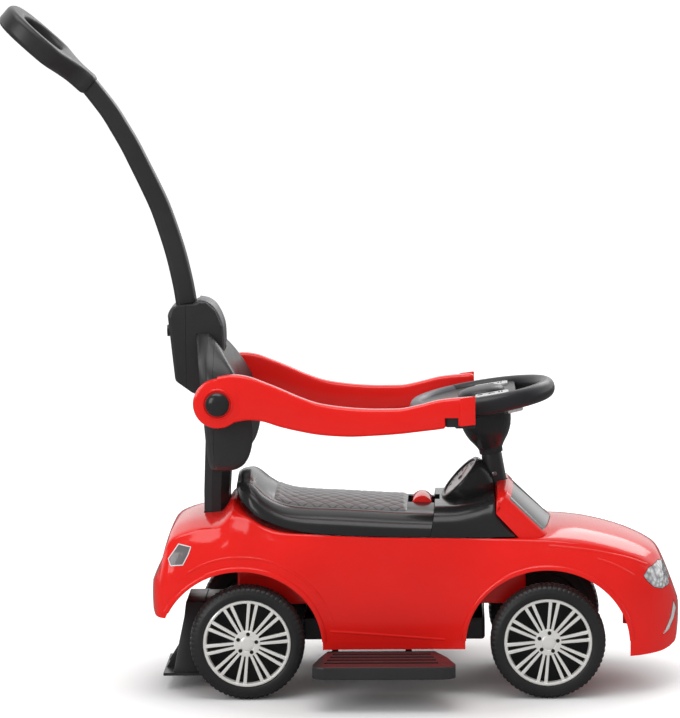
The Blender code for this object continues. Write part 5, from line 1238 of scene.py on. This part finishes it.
def makeColumn():
    bell = lathe("column_bell_shown", shaft["bell"], at(*onColumn(shaft["bellZ"])), columnDir, 72)
    inPlaceOf(bell, "column_bell", "blackGloss", 50)
    sleeve = lathe("column_sleeve_shown", shaft["sleeve"], at(*onColumn(shaft["sleeveZ"])), columnDir, 64)
    inPlaceOf(sleeve, "column_sleeve", "blackSatin", 50)
    x, y, z = onColumn(shaft["screwZ"])
    screw = lathe("column_screw", shaft["screw"], at(x, y + shaft["screwY"], z), (0, -1, 0), 24)
    dress(screw, "chassis", "axleSteel", 40)


makeColumn()

# Dash cover: station, foot z, half width, middle top z, half width of the flat middle
dash = dict(rows=[(0.2280, 0.2040, 0.1040, 0.2385, 0.070), (0.2620, 0.2035, 0.1040, 0.2390, 0.070),
                  (0.2900, 0.2030, 0.1035, 0.2440, 0.070), (0.3125, 0.2030, 0.1030, 0.2500, 0.068),
                  (0.3160, 0.2030, 0.1030, 0.2400, 0.068), (0.3280, 0.2030, 0.1020, 0.2190, 0.068),
                  (0.3385, 0.2030, 0.1010, 0.2060, 0.066)],
            sweep=0.2387, columnHole=(0.18, 0.30, 0.0145),
            hookSlot=((0.2200, 0.2435), (-0.019, 0.019), (0.2180, 0.27)))


def makeDash():
    rings = []
    for x in between([row[0] for row in dash["rows"]], 6):
        low, half, top, flat = rowAt(dash["rows"], x)[1:]
        arc = shoulderArc(flat, half, low, top)
        rings.append([at(x, y, z) for y, z in mirrored(arc + [(flat * 0.5, top), (0, top)])])
    made = skinOf("dash_cover_shown", rings)
    x, z = seat["hinge"]
    for tool in (rounds("sweep", (x, -across, z), (x, across, z), dash["sweep"], 240),
                 box("hookSlot", *dash["hookSlot"]), columnCut(*dash["columnHole"])):
        made = carved(made, tool)
    inPlaceOf(made, "dash_cover", "blackGloss")


makeDash()

# Windscreen: a red frame and a curved dark pane let into it. y, top z, foot x, foot z
screen = dict(rows=[(0.0, 0.2620, 0.3910, 0.2085), (0.060, 0.2590, 0.3850, 0.2065), (0.088, 0.2520, 0.3770, 0.2035),
                    (0.0960, 0.2400, 0.3700, 0.2015)], half=0.0960, headX=0.3320, headZ=0.2620, headLean=0.6,
              # the frame's back, as x and how far below the top, and its two lowest points
              back=[(0.3148, 0.008), (0.3170, 0.0015), (0.3205, 0.0)], backX=0.3164, backZ=0.2385, backLean=0.4,
              underX=0.3476, underZ=0.1960, footZ=0.1955, footIn=0.006,
              columnHole=(0.17, 0.31, 0.0152),
              # the pane: its reach across, its ends along the slope, and its depth in the pocket
              reach=0.0850, ends=(0.10, 0.91), sunk=0.0010, thick=0.0022, pocket=(0.004, 0.010),
              play=(0.996, 0.008))


def screenLine(y):
    top, footX, footZ = rowAt(screen["rows"], abs(y))[1:]
    headX = screen["headX"] - (screen["headZ"] - top) * screen["headLean"]
    return top, Vector((headX, 0, top)), Vector((footX, 0, footZ))


def makeScreen():
    rings = []
    for n in range(49):
        y = -screen["half"] + 2 * screen["half"] * n / 48
        top, head, foot = screenLine(y)
        backZ = screen["backZ"] - (screen["headZ"] - top) * screen["backLean"]
        rings.append([at(screen["underX"], y, screen["underZ"]), at(screen["backX"], y, backZ),
                      *(at(x, y, top - drop) for x, drop in screen["back"]), at(head.x, y, head.z),
                      at(foot.x, y, foot.z), at(foot.x - screen["footIn"], y, screen["footZ"])])
    made = skinOf("windscreen_frame_shown", rings)
    pocket, pane = [], []
    deep, over = screen["pocket"]
    squeeze, play = screen["play"]
    low, high = screen["sunk"] + screen["thick"], screen["sunk"]
    for n in range(41):
        y = -screen["reach"] + 2 * screen["reach"] * n / 40
        head, foot = screenLine(y)[1:]
        slope = foot - head
        out = Vector((-slope.z, 0, slope.x)).normalized()
        near, far = (head + slope * end for end in screen["ends"])
        pocket.append([at(p.x, y, p.z) for p in (near - out * deep, far - out * deep, far + out * over,
                                                 near + out * over)])
        near, far = near + (far - near) * play, far - (far - near) * play
        pane.append([at(p.x, y * squeeze, p.z) for p in (near - out * low, far - out * low, far - out * high,
                                                         near - out * high)])
    made = carved(made, skinOf("pocket", pocket))
    made = carved(made, columnCut(*screen["columnHole"]))
    inPlaceOf(made, "windscreen_frame", "redGloss", 35)
    inPlaceOf(skinOf("windscreen_shown", pane), "windscreen", "paneTint", 35)


makeScreen()
print("latch, column, dash and windscreen made")

# Gauge pod and dial. Heights on the dial count away from the driver
gauge = dict(face=(0.2685, 0, 0.2650), way=Vector((0.73, 0.10, -0.68)).normalized(),
             pod=[(0.0, 0.0040), (0.0285, 0.0040), (0.0285, 0.0008), (0.0293, 0.0000), (0.0322, 0.0),
                  (0.0336, 0.0006), (0.0346, 0.0022), (0.0355, 0.0070), (0.0362, 0.0140), (0.0357, 0.0220),
                  (0.0340, 0.0300), (0.0308, 0.0380), (0.0260, 0.0460), (0.0150, 0.0530), (0.0, 0.0560)],
             screenSide=((0.3142, 0.4), (-0.1, 0.1), (0.2, 0.4)), columnHole=(0.18, 0.34, 0.0146),
             dial=[(0.0, 0.0037), (0.0276, 0.0037), (0.0282, 0.0031), (0.0282, 0.0025), (0.0, 0.0025)],
             # ticks: how many, the first one's angle, the sweep to the last, the outer radius, then inner radius
             # and half width of long and short ones
             ticks=13, tickFrom=225, tickSweep=270, tickOuter=0.0252, longTick=(0.0195, 0.0009),
             shortTick=(0.0218, 0.0005), tickHeights=(0.0026, 0.0021), needleAt=60, needleHeights=(0.0021, 0.0016),
             needle=[(-0.004, 0.0011), (-0.004, -0.0011), (0.0200, 0.0)],
             hub=[(0.0, 0.0026), (0.0034, 0.0026), (0.0034, 0.0014), (0.0026, 0.0008), (0.0, 0.0007)])


def turned(points, degrees):
    a = radians(degrees)
    return [(u * cos(a) - v * sin(a), u * sin(a) + v * cos(a)) for u, v in points]


def makeGauge():
    face, way = at(*gauge["face"]), gauge["way"]
    pod = lathe("gauge_pod_shown", gauge["pod"], face, way, 72)
    pod = carved(pod, box("screenSide", *gauge["screenSide"]))
    pod = carved(pod, columnCut(*gauge["columnHole"]))
    inPlaceOf(pod, "gauge_pod", "blackGloss")
    inPlaceOf(lathe("gauge_dial_shown", gauge["dial"], face, way, 72), "gauge_dial", "dialSilver")
    up = (Vector((0, 0, 1)) - way * way.z).normalized()
    right = up.cross(way)

    def onDial(u, v, w):
        return face + right * u + up * v + way * w

    for n in range(gauge["ticks"]):
        inner, half = gauge["longTick" if n % 3 == 0 else "shortTick"]
        outer, angle = gauge["tickOuter"], gauge["tickFrom"] - gauge["tickSweep"] * n / (gauge["ticks"] - 1)
        shape = turned([(outer, -half), (outer, half), (inner, half), (inner, -half)], angle)
        tick = plate("dial_tick_%02d" % n, shape, *gauge["tickHeights"], onDial)
        dress(tick, "chassis", "markBlack")
    needle = turned(gauge["needle"], gauge["needleAt"])
    dress(plate("dial_needle", needle, *gauge["needleHeights"], onDial), "chassis", "needleRed")
    dress(lathe("dial_hub", gauge["hub"], face, way, 32), "chassis", "blackGloss")


makeGauge()
print("gauge made")

# Backrest and its cover, split across: height, half width, back x, wing front x, how far the middle is dished
back = dict(
    rows=[(0.2850, 0.0800, -0.0460, -0.0220, 0.006), (0.2890, 0.0890, -0.0475, -0.0110, 0.010),
          (0.2970, 0.0950, -0.0490, -0.0010, 0.014), (0.3130, 0.0985, -0.0510, 0.0065, 0.018),
          (0.3350, 0.0992, -0.0530, 0.0095, 0.020), (0.3600, 0.0992, -0.0550, 0.0070, 0.018),
          (0.3850, 0.0985, -0.0570, 0.0000, 0.014), (0.4050, 0.0950, -0.0590, -0.0100, 0.008),
          (0.4250, 0.0820, -0.0610, -0.0225, 0.004), (0.4420, 0.0600, -0.0630, -0.0350, 0.002),
          (0.4550, 0.0420, -0.0650, -0.0480, 0.001)],
    wall=0.003, hollow=(0.2970, 0.4250), boss=(0.078, 0.1055), bossRadius=0.0066, bore=0.0043,
    # x, y and z of the ways for the post and the pole's socket, and of what is cut off each half
    ways=[((-0.0583, -0.0172), (-0.0335, 0.0335), (0.20, 0.3770)),
          ((-0.13, -0.0297), (-0.0303, 0.0303), (0.3768, 0.60)),
          ((-0.04, -0.0227), (-0.0303, 0.0303), (0.3768, 0.3960))],
    coverCut=((-0.0403, 0.1), (-0.2, 0.2), (0.2, 0.6)), shellCut=((-0.2, -0.0400), (-0.2, 0.2), (0.2, 0.6)))


def backRing(z, wall):
    half, rear, front, dish = rowAt(back["rows"], z)[1:]
    half, rear, front = half - wall, rear + wall, front - wall
    points = [(rear, 0), (rear, half * 0.70), (rear + 0.0025, half - 0.014), (rear + 0.008, half - 0.0045),
              (rear + 0.0150, half), (max(front - 0.006, rear + 0.0165), half),
              (max(front, rear + 0.0175), half - 0.006), (front - dish * 0.25, half * 0.78),
              (front - dish * 0.85, half * 0.40), (front - dish, 0)]
    fine = smoothPath(points, 4)
    return [at(x, -y, z) for x, y in fine] + [at(x, y, z) for x, y in fine[-2:0:-1]]


def makeBackrest():
    heights = between([row[0] for row in back["rows"]], 4)
    inner = [z for z in heights if back["hollow"][0] <= z <= back["hollow"][1]]
    x, z = arm["pivot"]

    def onPivot(name, left, right, radius, steps):
        return rounds(name, (x, left, z), (x, right, z), radius, steps)

    wings = skinOf("wings", [backRing(height, 0) for height in heights])
    for cutter in (skinOf("space", [backRing(height, back["wall"]) for height in inner]),
                   *(box("way", *way) for way in back["ways"])):
        wings = carved(wings, cutter, solver="MANIFOLD")
    for word, side in sides:
        boss = onPivot("boss", *(side * y for y in back["boss"]), back["bossRadius"], 40)
        wings = carved(wings, boss, "UNION", "MANIFOLD")
    wings = carved(wings, onPivot("bore", -0.13, 0.13, back["bore"], 24), solver="MANIFOLD")
    cover = twin(wings, "backrest_cover_shown")
    wings.name = "backrest_shown"
    cover = carved(cover, box("cut", *back["coverCut"]), solver="MANIFOLD")
    wings = carved(wings, box("cut", *back["shellCut"]), solver="MANIFOLD")
    inPlaceOf(wings, "backrest", "blackSatin", 45)
    inPlaceOf(cover, "backrest_cover", "blackSatin", 45)


makeBackrest()
print("backrest made")

# Pieces whose packed form is fine enough: the same shape with softer edges and its own finish
softened = {
    "footrest_right": ("blackSatin", 0.0012), "footrest_left": ("blackSatin", 0.0012),
    "socket_front": ("blackSatin", 0.0012), "socket_rear": ("blackSatin", 0.0012),
    "chassis_pan": ("blackSatin", 0.0010), "rear_axle_bracket": ("blackSatin", 0.0008),
    "arm_yoke": ("blackSatin", 0.0006), "pole_release_button": ("wheelGrey", 0.0010),
}
for name, (paint, width) in softened.items():
    inPlaceOf(bevelled(twin(nodes[name], name + "_shown"), width, 3, 28), name, paint, 50)

# Guard under the tail: a tapering box on a flange, with an arm forward to the pan and two low fins behind.
# Its rings are z, rear x, front x and half width; the last one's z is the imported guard's own top
guard = dict(rings=[(0.0195, -0.0995, -0.0650, 0.060), (0.0300, -0.0968, -0.0645, 0.058),
                    (0.0620, -0.0908, -0.0620, 0.052), (0.0920, -0.0845, -0.0580, 0.047),
                    (0.0, -0.0820, -0.0560, 0.045)], wall=0.0025, open=0.0100, edge=0.0015,
             flange=((-0.1110, -0.0620), (-0.062, 0.062), (0.0185, 0.0222)),
             armRear=-0.0600, armHalf=0.040, armLow=0.0985, armEdge=0.0012,
             fin=[(-0.1100, 0.0215), (-0.0990, 0.0215), (-0.0945, 0.0470)], finY=(0.0200, 0.0235))


def makeGuard():
    node = nodes["rear_guard"]
    spots = [node.matrix_world @ vert.co for vert in node.data.vertices]
    top, front = max(spot.z for spot in spots), max(spot.x for spot in spots) - axleShift
    levels = [(z or top, *rest) for z, *rest in guard["rings"]]
    wall, half = guard["wall"], guard["armHalf"]

    def ringsOf(rows, wall):
        return [[at(x, y, z) for x, y in ((rear + wall, wall - wide), (ahead - wall, wall - wide),
                                          (ahead - wall, wide - wall), (rear + wall, wide - wall))]
                for z, rear, ahead, wide in rows]

    inner = ringsOf([(guard["open"], *levels[0][1:]), *levels[1:-1]], wall)
    flange = carved(box("flange", *guard["flange"]), skinOf("space", inner))
    shell = carved(bevelled(skinOf("shell", ringsOf(levels, 0)), guard["edge"], 2), skinOf("space", inner))
    link = box("link", (guard["armRear"], front), (-half, half), (guard["armLow"], top))
    fins = [prism("fin", guard["fin"], *sorted(side * y for y in guard["finY"])) for word, side in sides]
    made = gathered("rear_guard_shown", flange, shell, bevelled(link, guard["armEdge"], 2), *fins)
    inPlaceOf(made, "rear_guard", "blackSatin", 35)


makeGuard()
print("softened pieces and rear guard made")

# A light grey strip over the shoulder of the pole's socket, a painted highlight, and the screws under the pan
trim = dict(shoulder=[(-0.0300, 0.4400), (-0.0315, 0.4650), (-0.0400, 0.4850), (-0.0500, 0.4940),
                      (-0.0620, 0.4970)],
            highlightStrip=[(-0.0255, -0.0012), (-0.0255, 0.0006), (-0.0240, 0.0012), (0.0240, 0.0012), (0.0255, 0.0006),
                   (0.0255, -0.0012)],
            screws=[(0.088, 0.045), (0.088, -0.045), (0.280, 0.045), (0.280, -0.045)], screwZ=0.0665,
            screw=[(0.0, -0.0030), (0.0040, -0.0030), (0.0040, 0.0006), (0.0034, 0.0012), (0.0012, 0.0014),
                   (0.0010, 0.0004), (0.0, 0.0004)])


def makeTrim():
    # The light grey strip over the socket's rounded shoulder is a painted highlight
    path = smoothPath(trim["shoulder"], 8)
    rings = [[at(x + along.y * b, a, z - along.x * b) for a, b in trim["highlightStrip"]]
             for (x, z), along in zip(path, headings(path))]
    dress(skinOf("socket_painted_highlight", rings), "chassis", "segmentGrey", 40)
    for n, (x, y) in enumerate(trim["screws"], 1):
        screw = lathe("pan_screw_%d" % n, trim["screw"], at(x, y, trim["screwZ"]), (0, 0, -1), 24)
        dress(screw, "chassis", "axleSteel", 40)


makeTrim()
print("smaller pieces made")
